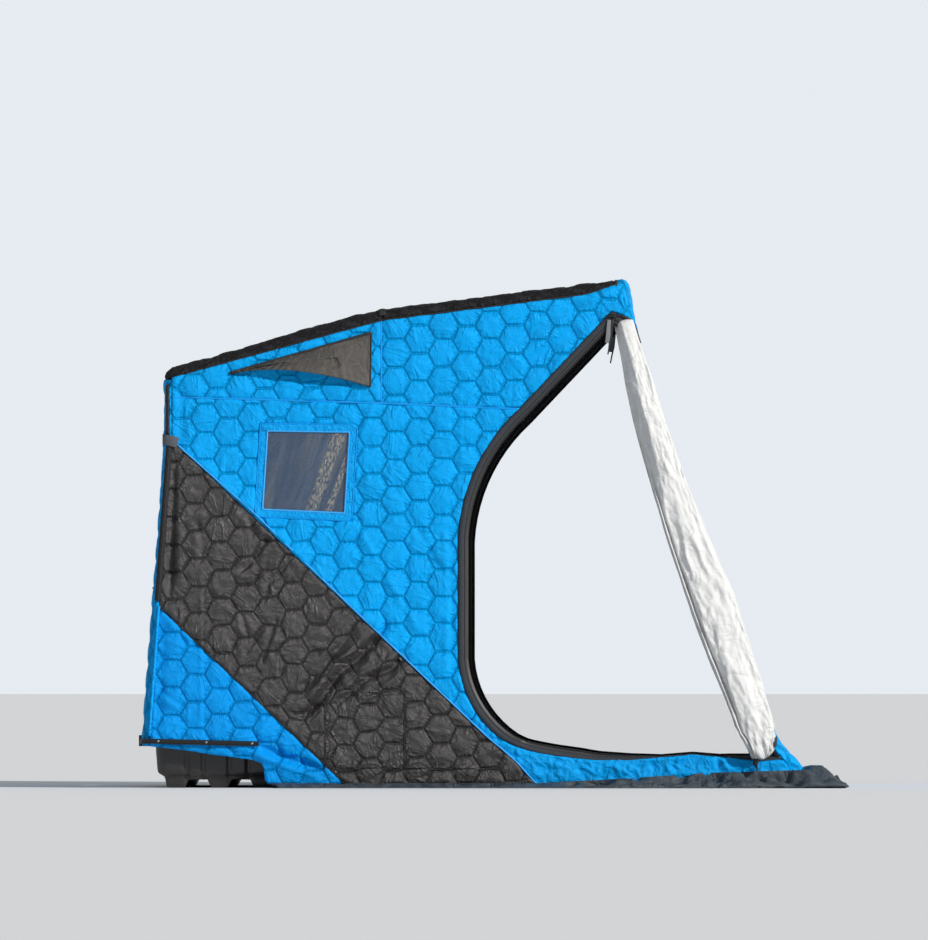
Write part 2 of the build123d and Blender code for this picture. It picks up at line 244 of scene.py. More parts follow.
def closed_ring(bm, count):
    """A closed row of points, still all in one place, and its edges."""
    row = [bm.verts.new((0, 0, 0)) for _ in range(count)]
    return row, [bm.edges.new(pair) for pair in zip(row, row[1:] + row[:1])]


def close_ends(bm):
    """Caps the open ends of a tube or bar."""
    bmesh.ops.holes_fill(bm, edges=[e for e in bm.edges if e.is_boundary], sides=0)
    bmesh.ops.recalc_face_normals(bm, faces=bm.faces[:])


def turning(loop):
    """1 for a loop that runs anticlockwise, and -1 for one that runs clockwise."""
    doubled_area = sum(a[0] * b[1] - b[0] * a[1] for a, b in zip(loop, loop[1:] + loop[:1]))
    return 1 if doubled_area > 0 else -1


def wander(points, scale, seed):
    """Smooth noise at many points, from -1 to 1."""
    shift = Vector((seed * 7.3, seed * 3.1, seed * 1.7))
    return np.array([noise.noise(Vector(p) * scale + shift) for p in points])


def crumple(points, scale, seed):
    """Sharp creases and flat facets between them, from about -1 to 1."""
    total = 0
    bent = points + 0.02 * wander(points, scale, seed + 9)[:, None]
    for k, share in enumerate((0.6, 0.4)):
        ridge = np.abs(wander(bent, scale * (1 + 1.2 * k), seed + k))
        total = total + share * (1 - 3.2 * ridge)
    return total


def hex_place(uv, centre, turn):
    """Each point's hexagon (column, row), offset from its middle, and place off and along its seam."""
    c, s = math.cos(turn), math.sin(turn)
    local = (uv - np.array(centre)) @ np.array([[c, -s], [s, c]])
    column = local[:, 0] / (1.5 * HEX)
    best = None
    for k in (np.floor(column), np.floor(column) + 1):
        shift = (k % 2) * 0.5
        row = np.round(local[:, 1] / (math.sqrt(3) * HEX) - shift)
        middle = np.stack([k * 1.5 * HEX, (row + shift) * math.sqrt(3) * HEX], axis=1)
        offset = local - middle
        gap = np.einsum("ij,ij->i", offset, offset)
        if best is None:
            best = [gap, offset, k, row]
        else:
            closer = gap < best[0]
            best = [
                np.where(closer, gap, best[0]),
                np.where(closer[:, None], offset, best[1]),
                np.where(closer, k, best[2]),
                np.where(closer, row, best[3]),
            ]
    offset = best[1]
    angles = np.radians(30 + 60 * np.arange(6))
    walls = np.stack([np.cos(angles), np.sin(angles)], axis=0)
    reach = offset @ walls
    nearest = reach.argmax(axis=1)
    seam = HEX * math.sqrt(3) / 2 - reach.max(axis=1)
    side = angles[nearest] + math.pi / 2
    run = np.abs(offset[:, 0] * np.cos(side) + offset[:, 1] * np.sin(side))
    return best[2], best[3], offset, np.clip(seam, 0, None), run


def sewn_swatch():
    """Simulates a swatch of stitched hexagons filling with air, and keeps how high each one stands."""
    step = HEX / CELL
    wide, tall = 6.8 * HEX, 5.4 * HEX
    columns, rows = int(1.5 * wide / step), int(1.2 * tall / step)
    bm = bmesh.new()
    bmesh.ops.create_grid(bm, x_segments=2 * columns, y_segments=2 * rows, size=1)
    grid = corners(bm)
    i, j = np.round(grid[:, 0] * columns), np.round(grid[:, 1] * rows)
    flat = np.stack([(i + j / 2) * step, j * step * math.sqrt(3) / 2, 0 * i], axis=1)
    keep = (np.abs(flat[:, 0]) < wide) & (np.abs(flat[:, 1]) < tall)
    seam = hex_place(flat[:, :2], (0, 0), 0)[3]
    noise_source = np.random.default_rng(3)
    flat[:, 2] = 0.005 * np.sqrt(np.clip(1 - (1 - seam / 0.055) ** 2, 0, 1))
    flat[:, 2] += np.where(seam > 0.003, noise_source.normal(size=len(flat)) * 0.00012, 0)
    lay_points(bm, flat)
    bmesh.ops.delete(bm, geom=[v for v, k in zip(bm.verts, keep) if not k], context="VERTS")
    bmesh.ops.triangulate(bm, faces=bm.faces[:], quad_method="SHORT_EDGE")
    i, j, flat, seam = i[keep], j[keep], flat[keep], seam[keep]
    mesh = bpy.data.meshes.new("swatch")
    bm.to_mesh(mesh)
    bm.free()
    swatch = bpy.data.objects.new("swatch", mesh)
    bpy.context.scene.collection.objects.link(swatch)
    rim = (np.abs(flat[:, 0]) > wide - 2 * step) | (np.abs(flat[:, 1]) > tall - 2 * step)
    stitched = swatch.vertex_groups.new(name="stitched")
    stitched.add([int(k) for k in np.nonzero((seam < 1e-4) | rim)[0]], 1.0, "REPLACE")
    cloth = swatch.modifiers.new("air", "CLOTH")
    cloth.settings.quality = 6
    cloth.settings.mass = 0.15
    cloth.settings.tension_stiffness = cloth.settings.compression_stiffness = 15
    cloth.settings.shear_stiffness = 5
    cloth.settings.bending_stiffness = 0.5
    cloth.settings.vertex_group_mass = "stitched"
    cloth.settings.shrink_min = -0.034
    cloth.settings.use_pressure = True
    cloth.settings.uniform_pressure_force = 30
    cloth.settings.effector_weights.gravity = 0
    cloth.collision_settings.use_self_collision = False
    last = 28
    cloth.point_cache.frame_start, cloth.point_cache.frame_end = 1, last
    for number in range(1, last + 1):
        bpy.context.scene.frame_set(number)
    filled = swatch.evaluated_get(bpy.context.evaluated_depsgraph_get()).to_mesh()
    heights = np.zeros(len(filled.vertices) * 3)
    filled.vertices.foreach_get("co", heights)
    heights = np.clip(heights[2::3], 0, 0.016)
    bpy.data.objects.remove(swatch)
    bpy.context.scene.frame_set(1)
    table = {(int(a), int(b)): h for a, b, h in zip(i, j, heights)}
    cells = []
    for column in range(-3, 4):
        for row in range(-2, 2):
            shift = (column % 2) * 0.5
            jc = round(2 * CELL * (row + shift))
            ic = round(CELL * (1.5 * column - row - shift))
            span = range(-CELL - 1, CELL + 2)
            cells.append([[table.get((ic + a, jc + b), 0.0) for b in span] for a in span])
    return np.array(cells)


def chance(column, row, seed):
    """A repeatable number from 0 to 1 for each hexagon."""
    key = np.sin(column * 12.9898 + row * 78.233 + seed * 37.719) * 43758.5453
    return key - np.floor(key)


def pillow(uv, centre, turn, rise):
    """Height of the stitched hexagons at many points, from the simulated ones, turned and mirrored."""
    column, row, offset, seam, run = hex_place(uv, centre, turn)
    pick = (chance(column, row, 1) * len(CELLS)).astype(int)
    angle = np.floor(chance(column, row, 2) * 6) * math.pi / 3
    mirror = np.where(chance(column, row, 3) > 0.5, 1, -1)
    x = (offset[:, 0] * np.cos(angle) - offset[:, 1] * np.sin(angle)) * mirror
    y = offset[:, 0] * np.sin(angle) + offset[:, 1] * np.cos(angle)
    b = y / (HEX / CELL * math.sqrt(3) / 2)
    a = x / (HEX / CELL) - b / 2
    a0 = np.clip(np.floor(a), -CELL - 1, CELL).astype(int)
    b0 = np.clip(np.floor(b), -CELL - 1, CELL).astype(int)
    fa, fb = a - a0, b - b0
    corner = [CELLS[pick, a0 + da + CELL + 1, b0 + db + CELL + 1] for da in (0, 1) for db in (0, 1)]
    near = corner[0] + fa * (corner[2] - corner[0]) + fb * (corner[1] - corner[0])
    far = corner[3] + (1 - fa) * (corner[1] - corner[3]) + (1 - fb) * (corner[2] - corner[3])
    height = np.where(fa + fb <= 1, near, far)
    lean = (chance(column, row, 6) - 0.5) * offset[:, 0] + (chance(column, row, 7) - 0.5) * offset[:, 1]
    height = height * (0.75 + 0.5 * chance(column, row, 4)) + 0.11 * lean * np.clip(seam / 0.016, 0, 1)
    return rise * height, seam, run, chance(column, row, 5)


def inside(points, loop):
    """Which points lie inside a closed loop."""
    result = np.zeros(len(points), bool)
    loop = np.array(loop)
    for a, b in zip(loop, np.roll(loop, -1, axis=0)):
        crosses = (a[1] > points[:, 1]) != (b[1] > points[:, 1])
        with np.errstate(divide="ignore", invalid="ignore"):
            at = (b[0] - a[0]) * (points[:, 1] - a[1]) / (b[1] - a[1]) + a[0]
        result ^= crosses & (points[:, 0] < at)
    return result


def to_loops(points, loops):
    """Distance from each point to the nearest edge of any loop."""
    nearest = np.full(len(points), 9.0)
    for loop in loops:
        loop = np.array(loop)
        for a, b in zip(loop, np.roll(loop, -1, axis=0)):
            span = b - a
            share = np.clip(((points - a) @ span) / max(span @ span, 1e-12), 0, 1)
            gap = np.linalg.norm(points - a - share[:, None] * span, axis=1)
            nearest = np.minimum(nearest, gap)
    return nearest


def cut_cloth(loop, holes, centre, turn, step):
    """A flat piece of cloth on a triangle grid, cut to its outline and its holes."""
    loop = np.array(loop)
    low, high = loop.min(axis=0), loop.max(axis=0)
    c, s = math.cos(turn), math.sin(turn)
    spin = np.array([[c, s], [-s, c]])
    middle = (low + high) / 2
    radius = np.linalg.norm(high - low) / 2 + 2 * step
    rows = int(radius / (step * math.sqrt(3) / 2)) + 2
    columns = int(radius * 1.6 / step) + 2
    bm = bmesh.new()
    bmesh.ops.create_grid(bm, x_segments=2 * columns, y_segments=2 * rows, size=1)
    grid = corners(bm)
    i = np.round(grid[:, 0] * columns)
    j = np.round(grid[:, 1] * rows)
    start = (middle - np.array(centre)) @ spin.T
    j0 = round(start[1] / (step * math.sqrt(3) / 2))
    i0 = round(start[0] / step - j0 / 2)
    i, j = i + i0, j + j0
    flat = np.stack([(i + j / 2) * step, j * step * math.sqrt(3) / 2], axis=1) @ spin + np.array(centre)
    lay_points(bm, flattened(flat))
    near = inside(flat, loop) | (to_loops(flat, [loop]) < 1.6 * step)
    bmesh.ops.delete(bm, geom=[v for v, keep in zip(bm.verts, near) if not keep], context="VERTS")
    bmesh.ops.triangulate(bm, faces=bm.faces[:], quad_method="SHORT_EDGE")
    for edge_loop in [loop, *map(np.array, holes)]:
        for a, b in zip(edge_loop, np.roll(edge_loop, -1, axis=0)):
            length = np.linalg.norm(b - a)
            if length < 1e-5:
                continue
            middles = np.array([f.calc_center_median()[:2] for f in bm.faces])
            share = np.clip(((middles - a) @ (b - a)) / length**2, 0, 1)
            gap = np.linalg.norm(middles - a - share[:, None] * (b - a), axis=1)
            picked = [f for f, g in zip(bm.faces, gap) if g < 1.2 * step]
            geom = set(picked)
            for f in picked:
                geom.update(f.edges)
                geom.update(f.verts)
            normal = (-(b - a)[1] / length, (b - a)[0] / length, 0)
            bmesh.ops.bisect_plane(
                bm, geom=list(geom), dist=step * 0.02, plane_co=(a[0], a[1], 0), plane_no=normal
            )
    bmesh.ops.triangulate(bm, faces=[f for f in bm.faces if len(f.verts) > 3])
    middles = np.array([f.calc_center_median()[:2] for f in bm.faces])
    keep = inside(middles, loop)
    for hole in holes:
        keep &= ~inside(middles, hole)
    bmesh.ops.delete(bm, geom=[f for f, k in zip(bm.faces, keep) if not k], context="FACES")
    bmesh.ops.dissolve_degenerate(bm, dist=1e-5, edges=bm.edges[:])
    bmesh.ops.triangulate(bm, faces=[f for f in bm.faces if len(f.verts) > 3])
    return bm


def finish_mesh(bm, name, materials, uv=None, values=None, smooth=True):
    """Turns a bmesh into a piece that rides on the hut, with its cloth map and its values at each point."""
    mesh = bpy.data.meshes.new(name)
    bm.to_mesh(mesh)
    bm.free()
    for key, data in (values or {}).items():
        mesh.attributes.new(key, "FLOAT", "POINT").data.foreach_set("value", data.astype(np.float32))
    if uv is not None:
        layer = mesh.uv_layers.new(name="cloth")
        index = np.zeros(len(mesh.loops), int)
        mesh.loops.foreach_get("vertex_index", index)
        layer.data.foreach_set("uv", uv[index].astype(np.float32).ravel())
    if smooth:
        mesh.polygons.foreach_set("use_smooth", np.ones(len(mesh.polygons), bool))
    for material in materials:
        mesh.materials.append(material)
    piece = bpy.data.objects.new(name, mesh)
    bpy.context.scene.collection.objects.link(piece)
    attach(piece, "root")
    return piece


def thicken(piece, thickness):
    """Gives a sheet its thickness inwards. A second material becomes its inner face."""
    solid = piece.modifiers.new("thickness", "SOLIDIFY")
    solid.thickness = thickness
    solid.offset = -1
    solid.use_even_offset = False
    if len(piece.data.materials) > 1:
        solid.material_offset = 1
    return piece


def soften(piece, width):
    """Rounds the edges of a piece."""
    bevel = piece.modifiers.new("edges", "BEVEL")
    bevel.width = width
    bevel.segments = 2


def panel(node, loop, lay, material, slot_name, drape, centre, turn=0.0, holes=(), calm=(), lines=(),
          rise=1.0, fine=7, flip=False, warp=0.006, crush=0.0):
    """One sewn panel of quilted cloth on the hut: flat in its calm areas, drawn down along its lines."""
    bm = cut_cloth(loop, holes, centre, turn, HEX / fine)
    uv = corners(bm)[:, :2]
    height, seam, run, lump = pillow(uv, centre, turn, rise)
    hem = to_loops(uv, [loop, *holes])
    level = hem.copy()
    for area in calm:
        level = np.minimum(level, np.where(inside(uv, area), 0, to_loops(uv, [area])))
    if lines:
        sewn = to_loops(uv, lines)
        level = np.minimum(level, sewn * 1.6)
        run = np.where(sewn < seam, uv[:, 0] + uv[:, 1], run)
        seam = np.minimum(seam, sewn)
    tuck = np.sqrt(1 - (1 - np.clip(level / 0.014, 0, 1)) ** 2)
    inner = np.clip(level / 0.05, 0, 1)[:, None]
    flat = flattened(uv)
    moved = uv + warp * inner * np.column_stack([wander(flat, 9, 21), wander(flat, 9, 22)])
    place, out = lay(moved)
    lift = UNDERLAY + height * tuck
    if crush:
        lift = lift + crush * crumple(flat, 14, 31) * tuck
    lift = lift + drape(place)
    lay_points(bm, place + out * lift[:, None])
    if flip:
        bmesh.ops.reverse_faces(bm, faces=bm.faces[:])
    values = {"seam": seam, "run": run, "hem": hem, "lump": lump}
    piece = finish_mesh(bm, f"{node}_quilt", [material, LINING], uv, values)
    thicken(piece, PANEL_CLOTH)
    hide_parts(node)


def srgb(*levels):
    """A screen colour, its red, green and blue from 0 to 255, as linear light."""
    light = [((c / 255 + 0.055) / 1.055) ** 2.4 if c > 10 else c / 255 / 12.92 for c in levels]
    return (*light, 1.0)


def new_material(name, base, roughness, metallic=0.0):
    """A plain material: itself, its node tree and its shader."""
    material = bpy.data.materials.new(name)
    material.use_nodes = True
    tree = material.node_tree
    shader = tree.nodes["Principled BSDF"]
    shader.inputs["Base Color"].default_value = base
    shader.inputs["Roughness"].default_value = roughness
    shader.inputs["Metallic"].default_value = metallic
    return material, tree, shader


def feed(tree, socket, value):
    """Gives a socket a plain value, or what comes out of another node."""
    if isinstance(value, bpy.types.NodeSocket):
        tree.links.new(value, socket)
    else:
        socket.default_value = value


def add_node(tree, kind, inputs, **settings):
    """Adds a shader node with its settings, and feeds its sockets."""
    node = tree.nodes.new(f"ShaderNode{kind}")
    for key, value in settings.items():
        setattr(node, key, value)
    for key, value in inputs.items():
        feed(tree, node.inputs[key], value)
    return node


def maths(tree, operation, *values, clamp=False):
    """What a maths node makes of its values."""
    node = add_node(tree, "Math", dict(enumerate(values)), operation=operation, use_clamp=clamp)
    return node.outputs[0]


def cloth_map(tree):
    """The cloth's own UV map."""
    return add_node(tree, "UVMap", {}, uv_map="cloth").outputs[0]


def clouds(tree, where, **values):
    """Soft noise from 0 to 1."""
    return add_node(tree, "TexNoise", {"Vector": where, **values}).outputs["Fac"]


def stretched_map(tree, where, scale):
    """A map drawn out or pressed together along each axis."""
    return add_node(tree, "VectorMath", {0: where, 1: scale}, operation="MULTIPLY").outputs[0]


def turned_map(tree, where, angle):
    """A map turned flat by an angle."""
    return add_node(
        tree, "VectorRotate", {"Vector": where, "Angle": angle}, rotation_type="Z_AXIS"
    ).outputs[0]


def fading(tree, away, reach):
    """1 where a distance is nothing, falling to 0 at its reach."""
    return maths(tree, "SUBTRACT", 1, maths(tree, "DIVIDE", away, reach), clamp=True)


def dashes(tree, along, length, level):
    """1 on each dash of a row and 0 between them."""
    wave = maths(tree, "SINE", maths(tree, "MULTIPLY", along, 2 * math.pi / length))
    return maths(tree, "GREATER_THAN", wave, level)


def twin_rows(tree, across, apart, half_width):
    """1 on two lines that run along a strip, one on each side of its middle."""
    away = maths(tree, "SUBTRACT", maths(tree, "ABSOLUTE", across), apart)
    return maths(tree, "LESS_THAN", maths(tree, "ABSOLUTE", away), half_width)


def scaled_colour(tree, base, factor):
    """A plain colour made lighter or darker by a value that changes over the surface."""
    return add_node(tree, "VectorMath", {0: base[:3], "Scale": factor}, operation="SCALE").outputs[0]


def two_colours(tree, shader, factor, plain, marked):
    """Gives a material one colour where the factor is 0 and another where it is 1."""
    mix = add_node(tree, "Mix", {"Factor": factor, "A": plain, "B": marked}, data_type="RGBA")
    tree.links.new(mix.outputs["Result"], shader.inputs["Base Color"])


def add_bump(tree, shader, height, strength, distance):
    """Lets a height stand out of a material's surface."""
    bump = add_node(tree, "Bump", {"Height": height, "Strength": strength, "Distance": distance})
    tree.links.new(bump.outputs[0], shader.inputs["Normal"])


def new_group(name, inputs, outputs):
    """A shader node group with named inputs and outputs: the group, and its two ends."""
    group = bpy.data.node_groups.new(name, "ShaderNodeTree")
    for key, value in inputs.items():
        socket = group.interface.new_socket(key, in_out="INPUT", socket_type="NodeSocketFloat")
        socket.default_value = value
    for key in outputs:
        group.interface.new_socket(key, in_out="OUTPUT", socket_type="NodeSocketFloat")
    return group, group.nodes.new("NodeGroupInput"), group.nodes.new("NodeGroupOutput")


THREADS = 900  # scale of the weave
THREAD_HEIGHT = 0.06
SEAM_STITCH = 0.0042  # length of a stitch and its gap
HEM_STITCH = 0.005


def weave_group():
    """Fine woven threads on the cloth's own UV map, with soft mottling: a tint and a height."""
    group, enter, leave = new_group("woven_threads", {"Mottle": 0.08}, ("Height", "Tint"))
    uv = cloth_map(group)
    across, down = (
        add_node(
            group, "TexWave", {"Vector": uv, "Scale": THREADS, "Distortion": 0.6, "Detail": 1},
            wave_type="BANDS", bands_direction=direction,
        ).outputs["Fac"]
        for direction in ("X", "Y")
    )
    weave = maths(group, "MULTIPLY", across, down)
    tint = maths(group, "SUBTRACT", clouds(group, uv, Scale=9, Detail=4), 0.5)
    tint = maths(group, "MULTIPLY", tint, enter.outputs["Mottle"])
    thread = maths(group, "MULTIPLY", maths(group, "SUBTRACT", weave, 0.25), 0.10)
    tint = maths(group, "ADD", maths(group, "ADD", tint, thread), 1.0)
    group.links.new(weave, leave.inputs["Height"])
    group.links.new(tint, leave.inputs["Tint"])
    return group


def folds_group():
    """Crisp creases with flatter cloth between them, on the cloth's own UV map."""
    group, enter, leave = new_group("crisp_folds", {"Scale": 14}, ("Height",))
    uv = cloth_map(group)
    total = 0.0
    for share, finer in ((0.66, 1.0), (0.34, 2.3)):
        scale = maths(group, "MULTIPLY", enter.outputs["Scale"], finer)
        cloud = clouds(group, uv, Scale=scale, Detail=1.5, Distortion=0.9)
        valley = maths(group, "ABSOLUTE", maths(group, "SUBTRACT", cloud, 0.5))
        total = maths(group, "ADD", maths(group, "MULTIPLY", valley, 4 * share), total)
    group.links.new(total, leave.inputs["Height"])
    return group


def quilt_group():
    """What sewing does to a quilted cloth: stitches, gathers along the seams, creases in each cell, and
    painted shade in the seam grooves and at the hems.
    """
    group, _, leave = new_group("quilted_seams", {}, ("Height", "Shade"))
    seam, run, hem, lump = (
        add_node(group, "Attribute", {}, attribute_name=key).outputs["Fac"]
        for key in ("seam", "run", "hem", "lump")
    )
    uv = cloth_map(group)
    groove = fading(group, seam, 0.0034)
    hem_shade = fading(group, hem, 0.004)
    thread = maths(group, "LESS_THAN", seam, 0.0007)
    thread = maths(group, "MULTIPLY", thread, dashes(group, run, SEAM_STITCH, -0.3))

    # the cloth is gathered along each seam
    cloud = clouds(group, uv, Scale=16, Detail=1)
    gather = add_node(group, "CombineXYZ", {
        "X": maths(group, "MULTIPLY", run, 62),
        "Y": maths(group, "MULTIPLY", seam, 15),
        "Z": maths(group, "MULTIPLY", cloud, 14),
    }).outputs[0]
    puckers = clouds(group, gather, Scale=1, Detail=1.5)
    pulls = maths(group, "MULTIPLY", puckers, fading(group, seam, 0.046))

    # and creased in each cell in a direction of its own
    turned = turned_map(group, uv, maths(group, "MULTIPLY", lump, 6.28))
    creases = clouds(group, stretched_map(group, turned, (9, 24, 1)), Scale=1, Detail=2, Distortion=0.8)
    valley = maths(group, "ABSOLUTE", maths(group, "SUBTRACT", creases, 0.5))
    off_seam = maths(group, "DIVIDE", seam, 0.008, clamp=True)
    folds = maths(group, "MULTIPLY", maths(group, "ADD", valley, creases), off_seam)

    height = maths(group, "MULTIPLY", pulls, 2.3)
    height = maths(group, "ADD", height, maths(group, "MULTIPLY", folds, 2.2))
    height = maths(group, "SUBTRACT", height, maths(group, "MULTIPLY", groove, 0.5))
    height = maths(group, "ADD", height, maths(group, "MULTIPLY", thread, 0.3))
    group.links.new(height, leave.inputs["Height"])

    # painted shade: the colour darkens in the seam grooves, unevenly along them, and at the tucked hems of
    # each panel
    uneven_groove_shade = maths(group, "MULTIPLY", maths(group, "SUBTRACT", cloud, 0.3), 0.55, clamp=True)
    shade = maths(group, "SUBTRACT", 1.0, maths(group, "MULTIPLY", groove, uneven_groove_shade))
    shade = maths(group, "SUBTRACT", shade, maths(group, "MULTIPLY", hem_shade, 0.25))
    shade = maths(group, "ADD", shade, maths(group, "MULTIPLY", thread, 0.12))
    cell_shade = maths(group, "MULTIPLY", maths(group, "SUBTRACT", lump, 0.5), 0.07)
    group.links.new(maths(group, "ADD", shade, cell_shade), leave.inputs["Shade"])
    return group


CELLS = sewn_swatch()
WEAVE = weave_group()
QUILT = quilt_group()
FOLDS = folds_group()


def place_group(tree, group, **values):
    """Places a node group with its own values: what comes out of it."""
    return add_node(tree, "Group", values, node_tree=group).outputs


def cloth_material(name, base, roughness, quilted=True, mottle=0.1, creased=0.0, scale=14, gloss=0.12):
    """Woven cloth: quilted, or plain, and creased as much and as finely as it says."""
    material, tree, shader = new_material(name, base, roughness)
    weave = place_group(tree, WEAVE, Mottle=mottle)
    height = maths(tree, "MULTIPLY", weave["Height"], THREAD_HEIGHT)
    factor = weave["Tint"]
    if quilted:
        quilt = place_group(tree, QUILT)
        height = maths(tree, "ADD", height, quilt["Height"])
        factor = maths(tree, "MULTIPLY", factor, quilt["Shade"])
    if creased:
        folds = place_group(tree, FOLDS, Scale=scale)
        height = maths(tree, "ADD", height, maths(tree, "MULTIPLY", folds["Height"], creased))
    tree.links.new(scaled_colour(tree, base, factor), shader.inputs["Base Color"])
    add_bump(tree, shader, height, 0.8, 0.006)
    shader.inputs["Specular IOR Level"].default_value = gloss
    return material


def surface_material(name, base, roughness, metallic=0.0, grain=220):
    """A hard finish with fine grain, worn a little lighter here and there, on object coordinates."""
    material, tree, shader = new_material(name, base, roughness, metallic)
    spot = add_node(tree, "TexCoord", {}).outputs["Object"]
    fine = clouds(tree, spot, Scale=grain, Detail=5)
    worn = maths(tree, "MULTIPLY", clouds(tree, spot, Scale=7, Detail=6), 0.12)
    factor = maths(tree, "ADD", 0.94, worn)
    tree.links.new(scaled_colour(tree, base, factor), shader.inputs["Base Color"])
    gloss = maths(tree, "ADD", roughness - 0.08, maths(tree, "MULTIPLY", fine, 0.16))
    tree.links.new(gloss, shader.inputs["Roughness"])
    add_bump(tree, shader, fine, 0.15, 0.001)
    return material


def stitched_material(name, base, thread_colour):
    """Hemmed cloth with two rows of stitches along it."""
    material, tree, shader = new_material(name, base, 0.6)
    along, across, _ = add_node(tree, "SeparateXYZ", {0: cloth_map(tree)}).outputs
    row = twin_rows(tree, across, 0.003, 0.0007)
    stitch = maths(tree, "MULTIPLY", row, dashes(tree, along, HEM_STITCH, -0.4))
    weave = place_group(tree, WEAVE, Mottle=0.1)
    two_colours(tree, shader, stitch, scaled_colour(tree, base, weave["Tint"]), thread_colour)
    height = maths(tree, "MULTIPLY", weave["Height"], THREAD_HEIGHT)
    height = maths(tree, "ADD", height, maths(tree, "MULTIPLY", stitch, 0.4))
    add_bump(tree, shader, height, 0.5, 0.003)
    shader.inputs["Specular IOR Level"].default_value = 0.18
    return material


def zip_material():
    """Black zip tape with a line of paler moulded teeth."""
    tape, teeth = srgb(24, 24, 26), srgb(66, 68, 72)
    material, tree, shader = new_material("zip_tape", tape, 0.5)
    along, across, _ = add_node(tree, "SeparateXYZ", {0: cloth_map(tree)}).outputs
    row = twin_rows(tree, across, 0.027, 0.0032)
    tooth = maths(tree, "MULTIPLY", row, dashes(tree, along, SEAM_STITCH, 0.0))
    two_colours(tree, shader, tooth, tape, teeth)
    add_bump(tree, shader, tooth, 0.6, 0.002)
    return material


def vinyl_material():
    """Clear vinyl, glossy and creased, its colour darkened as painted shade of the dim hut behind it, with
    two pale slanted streaks and faint specks of painted glint on its fine crinkles.
    """
    material, tree, shader = new_material("vinyl_painted_shade_and_glint", srgb(54, 68, 92), 0.12)
    uv = cloth_map(tree)
    slant = turned_map(tree, uv, math.radians(17))

    def crinkles(across, lengthwise, detail):
        stretch = stretched_map(tree, slant, (across, lengthwise, 1))
        return clouds(tree, stretch, Scale=1, Detail=detail, Distortion=0.4)

    creases = crinkles(150, 55, 6)
    along, up, _ = add_node(tree, "SeparateXYZ", {0: uv}).outputs
    lean = maths(tree, "ADD", along, maths(tree, "MULTIPLY", up, -0.375))
    lean = maths(tree, "ADD", lean, maths(tree, "MULTIPLY", crinkles(9, 6, 3), 0.03))
    # painted glint: pale streaks and specks mixed into the colour stand in for light reflected off the
    # crinkles
    painted_streaks = 0.0
    for at, half_width in ((-1.138, 0.026), (-1.064, 0.014)):
        away = maths(tree, "ABSOLUTE", maths(tree, "SUBTRACT", lean, at))
        within = maths(tree, "SUBTRACT", 1.25, maths(tree, "DIVIDE", away, half_width))
        painted_streaks = maths(tree, "ADD", maths(tree, "MULTIPLY", within, 2, clamp=True), painted_streaks)
    sharp = maths(tree, "MULTIPLY", maths(tree, "SUBTRACT", creases, 0.42), 5, clamp=True)
    painted_glint = maths(tree, "MULTIPLY", maths(tree, "MULTIPLY", sharp, painted_streaks, clamp=True), 0.85)
    faint_painted_specks = maths(tree, "SUBTRACT", crinkles(30, 3, 4), 0.5)
    faint_painted_specks = maths(tree, "MULTIPLY", faint_painted_specks, 0.9, clamp=True)
    painted_glint = maths(tree, "ADD", painted_glint, faint_painted_specks, clamp=True)
    # the dark colour is painted shade of the inside of the hut, the pale one is painted glint
    two_colours(tree, shader, painted_glint, srgb(68, 86, 112), srgb(166, 162, 146))
    add_bump(tree, shader, creases, 0.7, 0.006)
    shader.inputs["Alpha"].default_value = 0.68
    shader.inputs["Coat Weight"].default_value = 0.5
    return material


def plain_cloth(name, colour, roughness, **more):
    """Cloth without quilting."""
    return cloth_material(name, srgb(*colour), roughness, quilted=False, **more)


BLUE = cloth_material("blue_quilt", srgb(0, 157, 232), 0.52, mottle=0.16, gloss=0.1)
# a darker copy of the blue quilt for the lower rear corner panel: painted shade of that corner
SHADED_BLUE = cloth_material("blue_quilt_shaded", srgb(0, 144, 226), 0.52, mottle=0.2, gloss=0.1)
BLACK = cloth_material("black_quilt", srgb(52, 50, 51), 0.42, gloss=0.55)
ROOF = cloth_material("roof_black", srgb(36, 35, 38), 0.6, creased=1.6, scale=16, gloss=0.14)
DEEP_BLUE = plain_cloth("blue_cloth", (0, 154, 230), 0.5, creased=1.8, scale=12)
PUCKERED = plain_cloth("blue_hem", (0, 155, 230), 0.5, creased=0.9, scale=34)
GREY = plain_cloth("door_band", (58, 62, 68), 0.6, creased=0.35, scale=20)
WHITE = plain_cloth("white_lining", (218, 219, 219), 0.45, creased=1.7, scale=7, gloss=0.2)
LINING = plain_cloth("silver_lining", (188, 192, 195), 0.5, creased=0.5, scale=9)
SKIRT = plain_cloth("skirt_cloth", (66, 74, 82), 0.5, creased=3.0, scale=8, gloss=0.3)
HOOD = plain_cloth("hood_cloth", (76, 73, 70), 0.48, creased=1.3, scale=12, gloss=0.35)
PIPING = plain_cloth("light_piping", (64, 166, 236), 0.6)
TAB = plain_cloth("corner_tab", (88, 92, 100), 0.5)
TAPE = plain_cloth("pull_tape", (128, 131, 136), 0.5)
HEMMED = stitched_material("stitched_blue", srgb(0, 140, 218), srgb(40, 160, 230))
SEWN_BLACK = stitched_material("stitched_black", srgb(40, 39, 40), srgb(84, 84, 86))
PIPED_GREY = stitched_material("stitched_grey", srgb(66, 70, 76), srgb(110, 114, 120))
ZIP = zip_material()
VINYL = vinyl_material()
SLED = surface_material("moulded_plastic", srgb(40, 39, 40), 0.32, grain=380)
RAIL = surface_material("rail_coat", srgb(20, 20, 22), 0.32)
STEEL = surface_material("hoop_steel", srgb(150, 152, 155), 0.35, metallic=0.9)
BRACKET = surface_material("bracket_coat", srgb(34, 34, 36), 0.45)
NET = surface_material("vent_net", srgb(18, 18, 20), 0.8)

